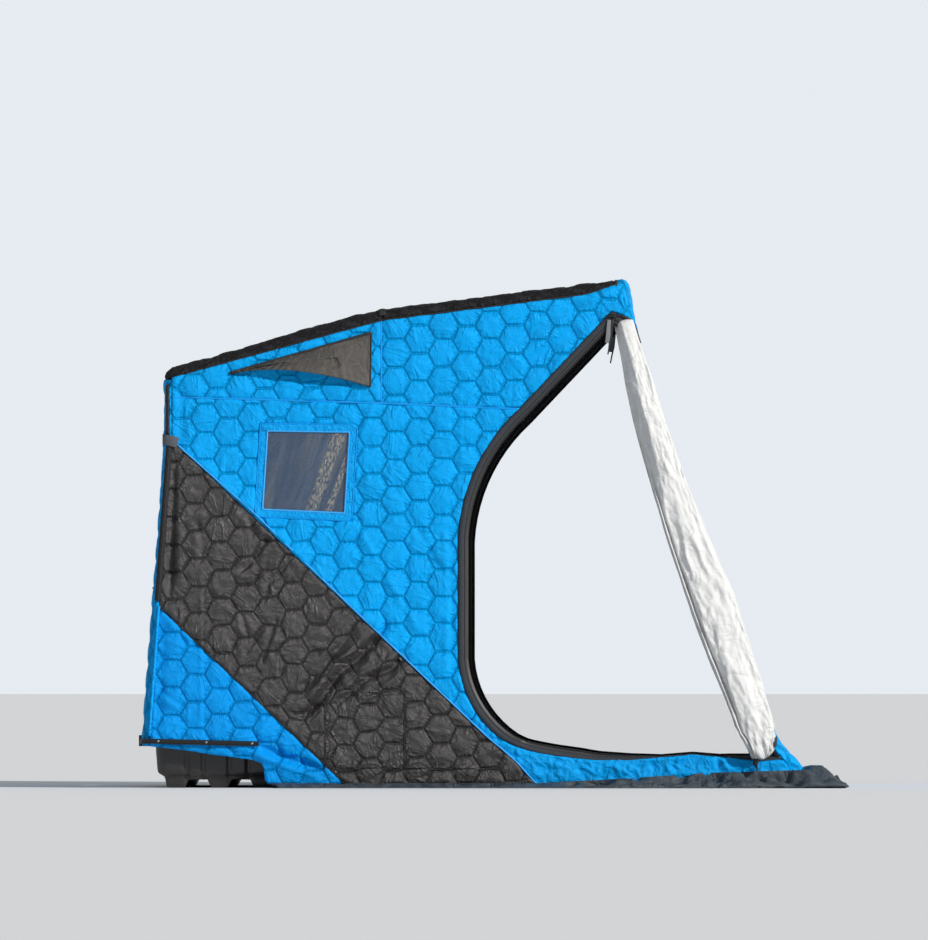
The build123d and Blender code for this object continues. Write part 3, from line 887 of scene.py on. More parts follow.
# Corners of the side's panels and of its door, as (x, z)
APEX = (0.467, 1.906)
SHOULDER = (0.098, 1.516)
JAMB_HIGH = (-0.146, 0.996)
JAMB_LOW = (-0.146, 0.514)
SILL_REAR = (0.134, 0.134)
SILL_FRONT = (0.414, 0.114)
SILL_NEXT = (0.300, 0.1222)
HIGH_ARC = [tuple(p) for p in arc_through(SHOULDER, (-0.076, 1.280), JAMB_HIGH, 12)]
LOW_MIDDLE = (-0.066, 0.290)
LOW_ARC = [tuple(p) for p in arc_through(JAMB_LOW, LOW_MIDDLE, SILL_REAR, 12)]
# the door's lower rear corner eases into its sill
LOW_ARC[-2:] = [
    tuple(
        np.array(LOW_ARC[-2]) * (1 - t) ** 2
        + np.array(SILL_REAR) * 2 * t * (1 - t)
        + np.array(SILL_NEXT) * t**2
    )
    for t in np.linspace(0, 1, 8)
]
FRONT_TOP = run_at(z=1.884, first=False)
FRONT_FOOT = run_at(z=0.070, first=False)
CORNER = inset_rim(0.030, FRONT_TOP, FRONT_FOOT)
SPLIT = (-0.0985, 0.2655)
REAR_TOP = (-1.296, 1.645)
REAR_YOKE = (-1.296, 1.5646)
REAR_BAND = (-1.297, 1.3957)
REAR_HEEL = (-1.3465, 0.7257)
REAR_FOOT = (-1.386, 0.166)
RIDGE_WRAP = (-0.456, 1.872)
RIDGE_YOKE = (-0.456, 1.540)
PEAK_WRAP = [(0.364, 1.976), (0.484, 2.016)]
BROW = inset_rim(0.013, run_at(x=0.470), run_at(z=2.0, first=False))
TOE = (0.168, 0.014)
HEEL = (-0.600, 0.014)
FLAP = [
    (-0.908, 0.014), (-0.922, 0.030), (-0.927, 0.082), (-0.938, 0.098), (-0.969, 0.110), (-1.019, 0.119),
    (-1.126, 0.130), (-1.226, 0.147), (-1.362, 0.163),
]
WINDOW = [(-0.913, 1.430), (-0.581, 1.425), (-0.601, 1.098), (-0.933, 1.113)]

SILL_TOP = 0.114
# where the seam between the main panel and the sill panel meets the door
low_start = min(range(len(LOW_ARC)), key=lambda k: abs(LOW_ARC[k][0] - LOW_MIDDLE[0]))
door_corner = [p for p in CORNER if p[1] >= SILL_TOP]
DOOR_FRONT = (door_corner[-1][0], SILL_TOP)
SIDE_LOOPS = {
    "upper_rear_panel": [REAR_TOP, RIDGE_WRAP, RIDGE_YOKE, REAR_YOKE],
    "upper_front_panel": [
        RIDGE_WRAP, PEAK_WRAP[0], *BROW, *inset_rim(0.028, run_at(z=1.98, first=False), FRONT_TOP),
        APEX, SHOULDER, RIDGE_YOKE,
    ],
    "main_panel": [REAR_YOKE, RIDGE_YOKE, *HIGH_ARC, *LOW_ARC[: low_start + 1], SPLIT, REAR_BAND],
    "sill_panel": [
        SPLIT, *LOW_ARC[low_start:], SILL_FRONT, DOOR_FRONT, *[p for p in CORNER if p[1] < 0.113], TOE,
    ],
    "band_panel": [REAR_BAND, TOE, HEEL, REAR_HEEL],
    "rear_corner_panel": [REAR_HEEL, HEEL, *FLAP, REAR_FOOT],
}


# The opening under the hood, and the areas that a hood and a window hold flat
VENT = [(-0.7382, 1.6685), (-0.5927, 1.7048), (-0.6038, 1.7495), (-0.7493, 1.7132)]
HOOD_AREA = [(-1.075, 1.652), (-0.492, 1.826), (-0.492, 1.600)]
WINDOW_AREA = [(-0.942, 1.458), (-0.552, 1.453), (-0.574, 1.070), (-0.962, 1.084)]
# Sewn lines of the patch on the band
PATCH = [
    [(-0.684, 0.364), (-0.684, 0.074)], [(-0.364, 0.380), (-0.364, 0.074)],
    [(-0.580, 0.372), (-0.364, 0.380)],
    [(-0.684, 0.074), (0.02, 0.070)],
]
# Pulls and hollows of the stretched cloth: start, end, half width, height, and whether it leans
PULLS = (
    ((-1.292, 1.42), (-1.306, 0.74), 0.020, -0.026, 0),
    ((-1.262, 1.36), (-1.258, 0.78), 0.016, 0.006, 0),
    ((-1.360, 0.74), (-1.385, 0.24), 0.050, -0.020, 0),
    ((-1.250, 1.62), (-1.270, 1.36), 0.040, -0.010, 0),
    ((-1.172, 0.88), (-1.172, 0.20), 0.007, 0.005, 1),
    ((0.500, 1.985), (0.010, 1.640), 0.028, 0.013, 1),
    ((0.420, 1.985), (0.060, 1.755), 0.030, -0.012, 0),
    ((-0.330, 0.500), (-0.540, 0.330), 0.010, 0.007, 0),
    ((-0.560, 0.560), (-0.760, 0.430), 0.012, 0.008, 0),
    ((-0.860, 0.700), (-0.930, 0.480), 0.010, -0.010, 1),
    ((-0.930, 0.640), (-1.010, 0.520), 0.010, -0.010, 0),
    ((-1.400, 0.620), (-1.180, 0.560), 0.012, 0.006, 1),
    ((-1.400, 0.420), (-1.230, 0.300), 0.012, 0.006, 1),
    ((-1.330, 0.150), (-0.960, 0.128), 0.012, -0.006, 0),
    ((0.300, 1.905), (-0.200, 1.560), 0.016, 0.006, 0),
    ((-0.480, 1.560), (-0.560, 1.340), 0.012, 0.005, 0),
    ((-0.560, 1.060), (-0.300, 0.620), 0.014, 0.005, 0),
    ((-0.400, 1.200), (-0.180, 0.800), 0.012, -0.005, 0),
    ((-0.190, 1.060), (-0.180, 0.420), 0.014, 0.006, 1),
    ((-0.500, 1.800), (-0.500, 1.560), 0.016, 0.006, 0),
    ((-1.25, 1.36), (-0.40, 0.56), 0.030, 0.006, 0),
)


# Crushed folds: the points of each one, its half width and its depth
CRUSHED = (
    ([(-0.470, 0.610), (-0.548, 0.512), (-0.614, 0.466), (-0.674, 0.390), (-0.712, 0.335), (-0.792, 0.276)],
     0.020, 0.036),
    ([(-0.366, 0.532), (-0.417, 0.474), (-0.523, 0.428), (-0.585, 0.372), (-0.644, 0.325)], 0.015, 0.026),
    ([(-0.560, 0.640), (-0.640, 0.545), (-0.700, 0.460), (-0.780, 0.400)], 0.014, 0.018),
    ([(-0.430, 0.660), (-0.505, 0.560)], 0.013, 0.018),
    ([(-0.720, 0.345), (-0.745, 0.300), (-0.815, 0.285)], 0.012, 0.014),
    ([(-1.048, 1.150), (-0.985, 1.085), (-0.962, 1.030)], 0.014, 0.013),
    ([(-0.905, 1.010), (-0.955, 0.930), (-1.020, 0.860)], 0.013, 0.015),
    ([(-0.820, 0.900), (-0.905, 0.820), (-0.930, 0.740)], 0.013, 0.012),
    ([(-0.962, 0.176), (-0.844, 0.120), (-0.690, 0.072)], 0.016, 0.026),
    ([(-1.200, 1.080), (-1.170, 1.000), (-1.172, 0.900)], 0.013, 0.010),
    ([(-1.080, 0.760), (-1.015, 0.690), (-0.990, 0.600)], 0.010, 0.009),
)


def from_line(uv, start, end):
    """Each point's share of a line's length, its offset from the line, and how far to its right it is."""
    span = np.array(end) - np.array(start)
    share = (uv - start) @ span / (span @ span)
    away = uv - start - np.clip(share, 0, 1)[:, None] * span
    right = (away[:, 0] * span[1] - away[:, 1] * span[0]) / np.linalg.norm(span)
    return share, away, right


def pulled(uv):
    """Height of the pulls and hollows at many points of a side."""
    lift = 0
    for start, end, width, height, lean in PULLS:
        share, away, right = from_line(uv, start, end)
        ends = np.clip(np.minimum(share, 1 - share) * 5 + 0.25, 0, 1)
        bell = np.exp(-(np.linalg.norm(away, axis=1) / width) ** 2 * (0.35 if lean else 1.0))
        lift = lift + height * ends * bell * (np.tanh(right / width * 1.6) if lean else 1.0)
    return lift


def crushed(flat):
    """Depth of the crushed folds at many points of a side: a valley with a ridge beside it."""
    uv = flat[:, :2]
    total = 0
    for line, width, depth in CRUSHED:
        nearest, past, share = np.full(len(uv), 9.0), np.zeros(len(uv)), np.zeros(len(uv))
        for number, (start, end) in enumerate(zip(line, line[1:])):
            at, away, right = from_line(uv, start, end)
            gap = np.linalg.norm(away, axis=1)
            closer = gap < nearest
            nearest = np.where(closer, gap, nearest)
            past = np.where(closer, -right, past)
            share = np.where(closer, (number + np.clip(at, 0, 1)) / (len(line) - 1), share)
        close = nearest < 6 * width
        depth = depth * np.sqrt(np.clip(np.minimum(share, 1 - share) * 6, 0, 1))
        rough = np.zeros(len(uv))
        rough[close] = wander(flat[close], 22, 57)
        past = past + 0.35 * width * rough
        valley = np.exp(-np.abs(past / width) ** 1.5)
        valley -= 0.42 * np.exp(-((past + 2.0 * width) / (0.9 * width)) ** 2)
        total = total + depth * valley * np.exp(-np.clip(nearest - np.abs(past), 0, None) / width) * close
    return total


def stretched(side):
    """The unevenness of a side wall, in metres out from it. It fades where the hoops and the foot hold it."""

    def drape(place):
        flat = flattened(place[:, (0, 2)])
        uv = flat[:, :2]
        lift = 0.005 * wander(flat, 2.2, 3 + side) + 0.003 * wander(flat, 6.5, 11 + side)
        lift = lift + pulled(uv) - crushed(flat)
        held = np.clip((to_rim(uv) - 0.030) / 0.035, 0, 1) * np.clip((uv[:, 1] - 0.010) / 0.035, 0, 1)
        return lift * held

    return drape


SIDE_CUTS = {
    # material, slot, a middle of the hexagons, and what else the panel has
    "upper_rear_panel": (
        BLUE, "blue_quilt", (-1.02, 1.60), {"rise": 0.88, "holes": [VENT], "calm": [HOOD_AREA]},
    ),
    "upper_front_panel": (BLUE, "blue_quilt", (-0.40, 1.63), {"rise": 0.88, "crush": 0.0018}),
    "main_panel": (
        BLUE, "blue_quilt", (-0.40, 1.48),
        {"rise": 0.88, "crush": 0.0018, "holes": [WINDOW], "calm": [WINDOW_AREA]},
    ),
    "sill_panel": (DEEP_BLUE, "blue_quilt", (0.10, 0.06), {"rise": 0.2, "crush": 0.011, "fine": 8}),
    "band_panel": (
        BLACK, "black_quilt", (-0.90, 0.60),
        {"rise": 0.78, "crush": 0.0042, "fine": 8, "turn": 0.03, "warp": 0.010, "lines": PATCH},
    ),
    # the lower rear panel takes the darker blue of painted shade
    "rear_corner_panel": (SHADED_BLUE, "blue_quilt", (-1.20, 0.40), {"rise": 0.9, "crush": 0.0024}),
}
for side, name in SIDES:
    for node, (material, slot_name, centre, more) in SIDE_CUTS.items():
        panel(
            f"{name}_{node}", SIDE_LOOPS[node], on_side(side), material, slot_name, stretched(side), centre,
            flip=side > 0, **more,
        )

# Length along the outline of each seam across the hut
rear_low = run_at(z=0.166)
rear_seam = run_at(z=0.800)
peak_seam = run_at(x=0.484)
upper_seam = run_at(z=1.480, first=False)
lower_seam = run_at(z=1.060, first=False)
toe_seam = run_at(z=0.068, first=False)


def band_loop(stations):
    """Loop of a panel that is as wide as (length, depth down the side) says at each station."""
    right = [(run, -over_edge(depth)) for run, depth in stations]
    left = [(run, over_edge(depth)) for run, depth in reversed(stations)]
    return right + left


def end_wall_drape(place):
    """The slack of the roof and end walls, in metres out from them."""
    flat = np.stack([place[:, 0] * 0.5, place[:, 1], place[:, 2]], axis=1)
    lift = 0.006 * wander(flat, 1.7, 5) + 0.003 * wander(flat, 5.0, 8)
    return lift * np.clip((HALF - 0.020 - np.abs(place[:, 1])) / 0.06, 0, 1)


def front_window(side, tall, wide, radius):
    """The rounded outline of a front window, in the cloth of the front wall."""
    points = []
    for sr, sa in ((1, 1), (-1, 1), (-1, -1), (1, -1)):
        middle_run = WINDOW_RUN + sr * (tall / 2 - radius)
        middle_across = side * WINDOW_ACROSS + sa * (wide / 2 - radius)
        start = math.atan2(sa, sr) - math.pi / 4
        for k in range(6):
            t = start + k * math.pi / 10
            points.append((middle_run + radius * math.cos(t), middle_across + radius * math.sin(t)))
    return points


WINDOW_RUN = run_at(z=1.270, first=False)
WINDOW_ACROSS = 0.350
front_windows = [front_window(side, 0.275, 0.420, 0.080) for side, _ in SIDES]
front_calm = [front_window(side, 0.335, 0.480, 0.110) for side, _ in SIDES]
SIDE_DROP = 0.03  # how far the end walls' cloth goes down the rounded side edges
ends = (
    ("rear_lower_panel", BLUE, [(rear_low, SIDE_DROP), (rear_seam, SIDE_DROP)]),
    ("rear_upper_panel", BLUE, [(rear_seam, SIDE_DROP), (run_at(z=1.412), SIDE_DROP), (EAVE, SIDE_DROP)]),
    ("roof_rear_panel", ROOF, [(EAVE, 0.012), (EAVE + 0.06, 0.02), (RIDGE, 0.040)]),
    ("roof_front_panel", ROOF, [(RIDGE, 0.040), (peak_seam - 0.12, 0.038), (peak_seam, 0.016)]),
    ("front_upper_panel", BLUE, [(peak_seam, 0.016), (peak_seam + 0.05, SIDE_DROP), (upper_seam, SIDE_DROP)]),
    ("front_middle_panel", BLUE, [(upper_seam, SIDE_DROP), (lower_seam, SIDE_DROP)]),
    ("front_lower_panel", BLUE, [(lower_seam, SIDE_DROP), (toe_seam, SIDE_DROP)]),
)
for node, material, stations in ends:
    first, last = stations[0][0], stations[-1][0]
    more = {"rise": 0.55 if node.startswith("rear") else 0.8, "crush": 0.001}
    if material is ROOF:
        # short seams gather the roof's cloth along its side edges
        gathers = [
            [(t, sign * 0.778), (t, sign * 0.850)]
            for t in np.arange(first + 0.06, last - 0.03, 0.112) for sign in (-1, 1)
        ]
        more = {"rise": 0.5, "crush": 0.004, "lines": gathers}
    if node == "front_middle_panel":
        more.update(holes=front_windows, calm=front_calm)
    panel(
        node, band_loop(stations), across_hut, material, "black_quilt" if material is ROOF else "blue_quilt",
        end_wall_drape, (first + 0.05, 0.0), turn=math.pi / 2, fine=4, **more,
    )


def spaced(path, step, closed):
    """A path with points at an even spacing."""
    path = np.array(path, float)
    if closed:
        path = np.vstack([path, path[:1]])
    length = np.concatenate([[0], np.cumsum(np.linalg.norm(np.diff(path, axis=0), axis=1))])
    count = max(2, int(round(length[-1] / step)))
    at = np.linspace(0, length[-1], count + 1)[: count if closed else count + 1]
    return np.column_stack([np.interp(at, length, path[:, k]) for k in range(2)]), at


def sideways(path, closed):
    """The left-hand direction at each point of a path, stretched at its corners."""
    if closed:
        before, after = path - np.roll(path, 1, axis=0), np.roll(path, -1, axis=0) - path
    else:
        steps = np.diff(path, axis=0)
        before, after = np.vstack([steps[:1], steps]), np.vstack([steps, steps[-1:]])
    before, after = (d / np.linalg.norm(d, axis=1)[:, None] for d in (before, after))
    left = np.column_stack([-(before + after)[:, 1], (before + after)[:, 0]])
    left /= np.linalg.norm(left, axis=1)[:, None]
    spread = np.einsum("ij,ij->i", left, np.column_stack([-after[:, 1], after[:, 0]]))
    return left / np.clip(spread, 0.5, 1)[:, None]


def ribbon(name, path, rows, lay, material, slot_name, drape=None, closed=False, step=0.012,
           thickness=TAPE_CLOTH, pucker=0.0, stand_at=None):
    """A strip sewn along a path, in rows: distance to its left or inside its loop, height above the cloth."""
    if closed:
        rows = [(turning(path) * away, height) for away, height in rows]
    path, at = spaced(path, step, closed)
    left = sideways(path, closed)
    bm = bmesh.new()
    line = [bm.verts.new((p[0], p[1], 0)) for p in path]
    edges = [bm.edges.new(pair) for pair in zip(line, line[1:])]
    if closed:
        edges.append(bm.edges.new((line[-1], line[0])))
    everyone = list(line)
    for _ in rows[1:]:
        line, edges = grow_row(bm, line, edges)
        everyone += line
    stand = np.array([stand_at(p) for p in path]) if stand_at else np.ones(len(path))
    uv_rows = np.vstack([path + left * (away * stand)[:, None] if away else path for away, _ in rows])
    place, out = lay(uv_rows)
    lift = np.concatenate([
        height * stand - (abs(away) + 0.010) * np.sqrt(1 - stand**2) for away, height in rows
    ])
    along_strip = np.tile(at, len(rows))
    across_strip = np.repeat([away for away, _ in rows], len(path))
    if pucker:
        spots = np.column_stack([along_strip * 1.6, across_strip, 0 * lift])
        lift = lift + pucker * (wander(spots, 30, 41) + 0.6 * crumple(spots, 24, 43))
    if drape is not None:
        lift = lift + drape(place)
    for v, p in zip(everyone, place + out * lift[:, None]):
        v.co = p
    bm.verts.index_update()
    order = np.argsort([v.index for v in everyone])
    face_along(bm, Vector(out[0]))
    uv = np.column_stack([along_strip, across_strip])[order]
    return thicken(finish_mesh(bm, name, [material], uv), thickness)


def folded_in(spot):
    """Share of the door band's width that stands up at a place; the rest folds into the hut."""
    x, z = spot
    if z > 0.24 or x < 0.1:
        return 1.0
    return np.interp(x, (0.10, 0.34, 0.54, 0.66, 0.90, 1.0, 1.1), (1.0, 0.85, 0.5, 0.12, 0.12, 0.4, 0.7))


def crown(width, height, sunk=-0.002):
    """Rows of a strip that is domed across its width."""
    half = [(0.5 * width, sunk), (0.46 * width, height * 0.55), (0.25 * width, height * 0.95)]
    return [*((-away, lift) for away, lift in half), (0.0, height), *reversed(half)]


def inner_tape(name, path, rows, lay, drape):
    """Tape over a seam on the inside of the hut."""
    ribbon(f"{name}_lining", path, rows, lay, LINING, "white_lining", drape, step=0.03, thickness=0.0015)


def window_pane(name, loop, lay, turn, step, give, flip=False):
    """A clear pane, cut a little larger than its opening, which gives in the middle."""
    cut = np.array(loop)
    cut = cut + (cut - cut.mean(axis=0)) * 0.03
    bm = cut_cloth(cut, (), (0, 0), turn, step)
    uv = corners(bm)[:, :2]
    place, out = lay(uv)
    loose = np.clip(to_loops(uv, [loop]) / 0.04, 0, 1)
    lift = give(flattened(uv), loose, place)
    lay_points(bm, place + out * lift[:, None])
    if flip:
        bmesh.ops.reverse_faces(bm, faces=bm.faces[:])
    return thicken(finish_mesh(bm, f"{name}_pane", [VINYL], uv), 0.0012)


# Rows of the strips round the openings: distance inside the opening's edge, height above the cloth
DOOR_BAND = (
    (-0.003, -0.001), (0.0, 0.004), (0.004, 0.0065), (0.010, 0.0075), (0.016, 0.0070), (0.021, 0.0050),
    (0.023, 0.0025),
)
ZIP_TAPE = (
    (0.020, 0.0015), (0.024, 0.0025), (0.027, 0.0040), (0.030, 0.0025), (0.039, 0.0015), (0.0405, -0.003),
)
WINDOW_BORDER = (
    (0.004, 0.0002), (0.001, 0.0022), (-0.004, 0.0028), (-0.009, 0.0026), (-0.014, 0.0028), (-0.019, 0.0030),
    (-0.024, 0.0026), (-0.028, 0.0016), (-0.031, -0.002),
)
WINDOW_HEM = ((-0.0255, 0.0005), (-0.0265, 0.0036), (-0.0285, 0.0042), (-0.0305, 0.0034), (-0.0320, 0.000))
WINDOW_PIPING = ((0.0055, -0.001), (0.0045, 0.0035), (0.0025, 0.0055), (0.0, 0.0058), (-0.002, 0.0035))
FRONT_BORDER = (
    (0.006, 0.000), (0.004, 0.0045), (-0.002, 0.0055), (-0.018, 0.0050), (-0.022, 0.0040), (-0.024, -0.001),
)
SEAM_TAPE = crown(0.034, -0.0130, sunk=-0.0095)
CORNER_TAPE = crown(0.050, -0.0165, sunk=-0.0150)
LINED = ("yoke_seam", "ridge_seam", "band_piping", "heel_seam", "door_seam")  # seams taped on the inside too
DOOR = [APEX, SHOULDER, *HIGH_ARC[1:], *LOW_ARC, SILL_FRONT, DOOR_FRONT, *reversed(door_corner)]
COLLAR = [
    (0.455, 1.893), (0.490, 1.890), (0.520, 1.885), (0.545, 1.874), (0.561, 1.848), (0.570, 1.815),
    (0.5815, 1.780),
]
blue_sewn, black_sewn = (HEMMED, "blue_quilt"), (SEWN_BLACK, "black_quilt")
piping, plain_blue = (PIPING, "blue_quilt"), (DEEP_BLUE, "blue_quilt")
SEWN = (
    # a seam or tape on each side: its path, width, height, and finish
    ("yoke_seam", [REAR_YOKE, RIDGE_YOKE, SHOULDER], 0.009, 0.0022, blue_sewn),
    ("ridge_seam", [RIDGE_WRAP, RIDGE_YOKE], 0.008, 0.0018, blue_sewn),
    ("band_piping", [REAR_BAND, (-0.98, 1.1138), (-0.5, 0.6516), TOE], 0.0065, 0.0060, piping),
    ("heel_seam", [REAR_HEEL, HEEL], 0.005, 0.0035, black_sewn),
    ("door_seam", [SPLIT, (-0.024, 0.205), TOE], 0.006, 0.0025, blue_sewn),
    ("corner_low", inset_rim(0.030, run_at(z=0.196), run_at(z=0.735)), 0.012, 0.0080, plain_blue),
    ("corner_band", inset_rim(0.024, run_at(z=0.735), run_at(z=1.400)), 0.026, 0.0095, black_sewn),
    ("corner_high", inset_rim(0.014, run_at(z=1.400), run_at(z=1.625)), 0.016, 0.0105, black_sewn),
    ("roll_collar", COLLAR, 0.010, 0.0120, (ZIP, "grey_trim")),
    ("patch_side_0", PATCH[0], 0.0045, 0.0006, black_sewn),
    ("patch_side_1", PATCH[1], 0.0045, 0.0006, black_sewn),
    ("patch_top", [(-0.684, 0.366), *PATCH[2]], 0.0045, 0.0006, black_sewn),
    ("patch_foot", PATCH[3], 0.0045, 0.0006, black_sewn),
    ("roof_edge", [REAR_TOP, RIDGE_WRAP, *PEAK_WRAP], 0.006, 0.0035, black_sewn),
)
# The painted glint streaks of a side pane lean, so its folds are wandered over on tilted cloth
PANE_TILT = np.array([[0.93, 0.36, 0], [-0.36, 0.93, 0], [0, 0, 1]]) * np.array([3.4, 0.5, 1])


def side_strips(side, name):
    """All that is sewn on a side wall round its door and window and along its seams."""
    lay, drape = on_side(side), stretched(side)

    def edging(part, path, rows, material, slot_name, thickness, **more):
        more.update(closed=True, thickness=thickness)
        return ribbon(f"{name}_{part}", path, rows, lay, material, slot_name, drape, **more)

    door = DOOR[:-1] if np.linalg.norm(np.array(DOOR[0]) - DOOR[-1]) < 0.004 else DOOR
    band = edging("door_band", door, DOOR_BAND, GREY, "grey_trim", 0.004, stand_at=folded_in)
    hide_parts(f"{name}_door_trim")
    edging("zip_tape", door, ZIP_TAPE, ZIP, "grey_trim", 0.003, stand_at=folded_in)
    edging("window_border", WINDOW, WINDOW_BORDER, PUCKERED, "blue_quilt", 0.003, step=0.006, pucker=0.0022)
    edging("window_hem", WINDOW, WINDOW_HEM, HEMMED, "blue_quilt", TAPE_CLOTH, step=0.008)
    edging("window_piping", WINDOW, WINDOW_PIPING, PIPING, "blue_quilt", TAPE_CLOTH, step=0.010)

    def give(flat, loose, place):
        tilt = flat @ PANE_TILT
        folds = 0.006 * wander(tilt, 4.2, 51) + 0.0030 * crumple(tilt, 7, 53)
        return UNDERLAY + loose * folds + drape(place) * 0.8

    pane = window_pane(f"{name}_window", WINDOW, lay, 0.06, 0.0085, give, flip=side > 0)
    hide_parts(f"{name}_window")
    for part, path, width, height, (material, slot_name) in SEWN:
        ribbon(f"{name}_{part}", path, crown(width, height), lay, material, slot_name, drape)
        if part in LINED:
            inner_tape(f"{name}_{part}", path, SEAM_TAPE, lay, drape)
    for part, low, high in (
        ("rear", run_at(z=0.200), run_at(z=1.540)), ("roof", run_at(x=-1.180), run_at(x=0.360)),
    ):
        inner_tape(f"{name}_{part}_corner", inset_rim(0.042, low, high), CORNER_TAPE, lay, drape)


for side, name in SIDES:
    side_strips(side, name)

for node, run, width, (material, slot_name) in (
    ("ridge_tape", RIDGE, 0.034, black_sewn), ("peak_tape", peak_seam, 0.012, black_sewn),
    ("rear_tape", rear_seam, 0.012, blue_sewn), ("brow_tape", upper_seam, 0.012, blue_sewn),
    ("sill_tape", lower_seam, 0.012, blue_sewn),
):
    reach = over_edge(0.024 if material is SEWN_BLACK else 0.030)
    ribbon(node, [(run, -reach), (run, reach)], crown(width, 0.0055), across_hut, material, slot_name,
           end_wall_drape, step=0.03)
    inner_tape(node, [(run, -0.76), (run, 0.76)], SEAM_TAPE, across_hut, end_wall_drape)


def front_pane(loop, side, name):
    """A front window with its border."""
    ribbon(f"{name}_border", loop, FRONT_BORDER, across_hut, PIPED_GREY, "grey_trim", end_wall_drape,
           closed=True, step=0.010, thickness=0.003)

    def give(flat, loose, place):
        folds = 0.005 * wander(flat * np.array([2.6, 0.6, 1]), 6, 61 + side)
        return -0.002 + loose * folds + end_wall_drape(place)

    return window_pane(name, loop, across_hut, 0.1, 0.010, give)


for loop, (side, name) in zip(front_windows, SIDES):
    pane = front_pane(loop, side, f"{name}_front_window")
    if side < 0:
        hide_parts("front_windows")


def sheet_grid(columns, rows):
    """A square grid whose points carry their place from 0 to 1 along and across."""
    bm = bmesh.new()
    bmesh.ops.create_grid(bm, x_segments=columns, y_segments=rows, size=1)
    spots = corners(bm)[:, :2] / 2 + 0.5
    return bm, spots[:, 0], spots[:, 1]


HOOD_CREASES = (
    ((-0.990, 1.672), (-0.780, 1.710), 0.007), ((-0.780, 1.710), (-0.632, 1.724), 0.009),
    ((-0.632, 1.724), (-0.618, 1.686), 0.006),
)
for side, name in SIDES:
    # a hood hangs from its top edge, u along it from the rear, v down to the free edge
    bm, u, v = sheet_grid(120, 42)
    rear, top, low = np.array([-1.060, 1.660]), np.array([-0.496, 1.820]), np.array([-0.500, 1.604])
    middle = np.array([-0.800, 1.668])
    u = 0.012 + 0.988 * u
    high = rear + (top - rear) * u[:, None]
    sag = 2 * middle - (rear + low) / 2
    free = np.outer((1 - u) ** 2, rear) + np.outer(2 * u * (1 - u), sag) + np.outer(u**2, low)
    spot = high + (free - high) * v[:, None]
    belly = np.sin(np.pi * np.clip(u, 0, 1) ** 1.25) ** 0.8
    out = 0.004 + 0.052 * belly * np.sin(v * math.pi / 2) ** 1.3
    left_part = np.clip((0.52 - u) / 0.12, 0, 1)
    out += left_part * 0.0030 * np.sin((u + 0.05 * v) * 2 * math.pi * 19) * (0.35 + 0.65 * v)
    out -= left_part * 0.011 * np.exp(-((v - 0.50) / 0.10) ** 2)
    out += left_part * 0.006 * np.exp(-((v - 0.28) / 0.12) ** 2)
    flat = flattened(spot)
    off_ends = np.clip(u * 4, 0, 1) * np.clip((1 - u) * 8, 0, 1)
    out += 0.004 * wander(flat * np.array([1, 2.2, 1]), 8, 71) * off_ends
    for start, end, depth in HOOD_CREASES:
        start, end = np.array(start), np.array(end)
        span = (end - start) / np.linalg.norm(end - start)
        at = (spot - start) @ span / np.linalg.norm(end - start)
        below = (spot - start)[:, 0] * span[1] - (spot - start)[:, 1] * span[0]
        within = np.clip(np.minimum(at, 1 - at) * 8 + 0.5, 0, 1)
        out -= depth * within * np.clip(below / 0.006, 0, 1) * np.exp(-np.clip(below, 0, 1) / 0.030)
    rim = np.minimum(np.minimum(v * 0.16, (1 - v) * 0.16), (1 - u) * 0.56)
    out += 0.0022 * np.exp(-(((rim - 0.004) / 0.0035) ** 2))
    out = np.clip(out, 0.002, 0.0565)
    lay_points(bm, np.column_stack([spot[:, 0], side * (HALF + out), spot[:, 1]]))
    bmesh.ops.remove_doubles(bm, verts=bm.verts[:], dist=1e-5)
    face_along(bm, Vector((0, side, 0)))
    uv = np.column_stack([u, v * 0.2]) * 0.6
    hood = finish_mesh(bm, f"{name}_vent_hood_cloth", [HOOD], uv)
    thicken(hood, 0.003)
    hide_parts(f"{name}_vent_hood")
    for part, path, width in (("top_binding", [rear, top], 0.015), ("front_binding", [top, low], 0.009)):
        rows = crown(width, 0.0085, sunk=-0.001)
        ribbon(f"{name}_hood_{part}", path, rows, on_side(side), SEWN_BLACK, "black_quilt")

# The front corner from the peak down, carried on past its foot, and each point's share of its length
arc_points = np.array([*front_arc(60), (1.160, 0.108)])
arc_share = np.array([*np.linspace(0, 1, 60), 1.042])
CORNER_LENGTH = 1.95
# The roll: share along the front corner, shift in x, half width, distance of its axis outside the wall
STATIONS = np.array([
    (0.084, -0.054, 0.038, -0.018), (0.10, -0.052, 0.040, -0.006), (0.13, -0.053, 0.042, 0.010),
    (0.17, -0.053, 0.047, 0.022), (0.22, -0.056, 0.056, 0.029), (0.32, -0.059, 0.062, 0.034),
    (0.42, -0.057, 0.068, 0.038), (0.55, -0.051, 0.081, 0.045), (0.69, -0.043, 0.092, 0.051),
    (0.80, -0.047, 0.087, 0.048), (0.88, -0.050, 0.081, 0.045), (0.96, -0.058, 0.070, 0.040),
    (1.00, -0.063, 0.055, 0.034), (1.038, -0.078, 0.034, 0.024),
])


def corner_place(share):
    """Place on the hut's front corner, as (x, z), at a share of its length."""
    return np.column_stack([np.interp(share, arc_share, arc_points[:, k]) for k in range(2)])


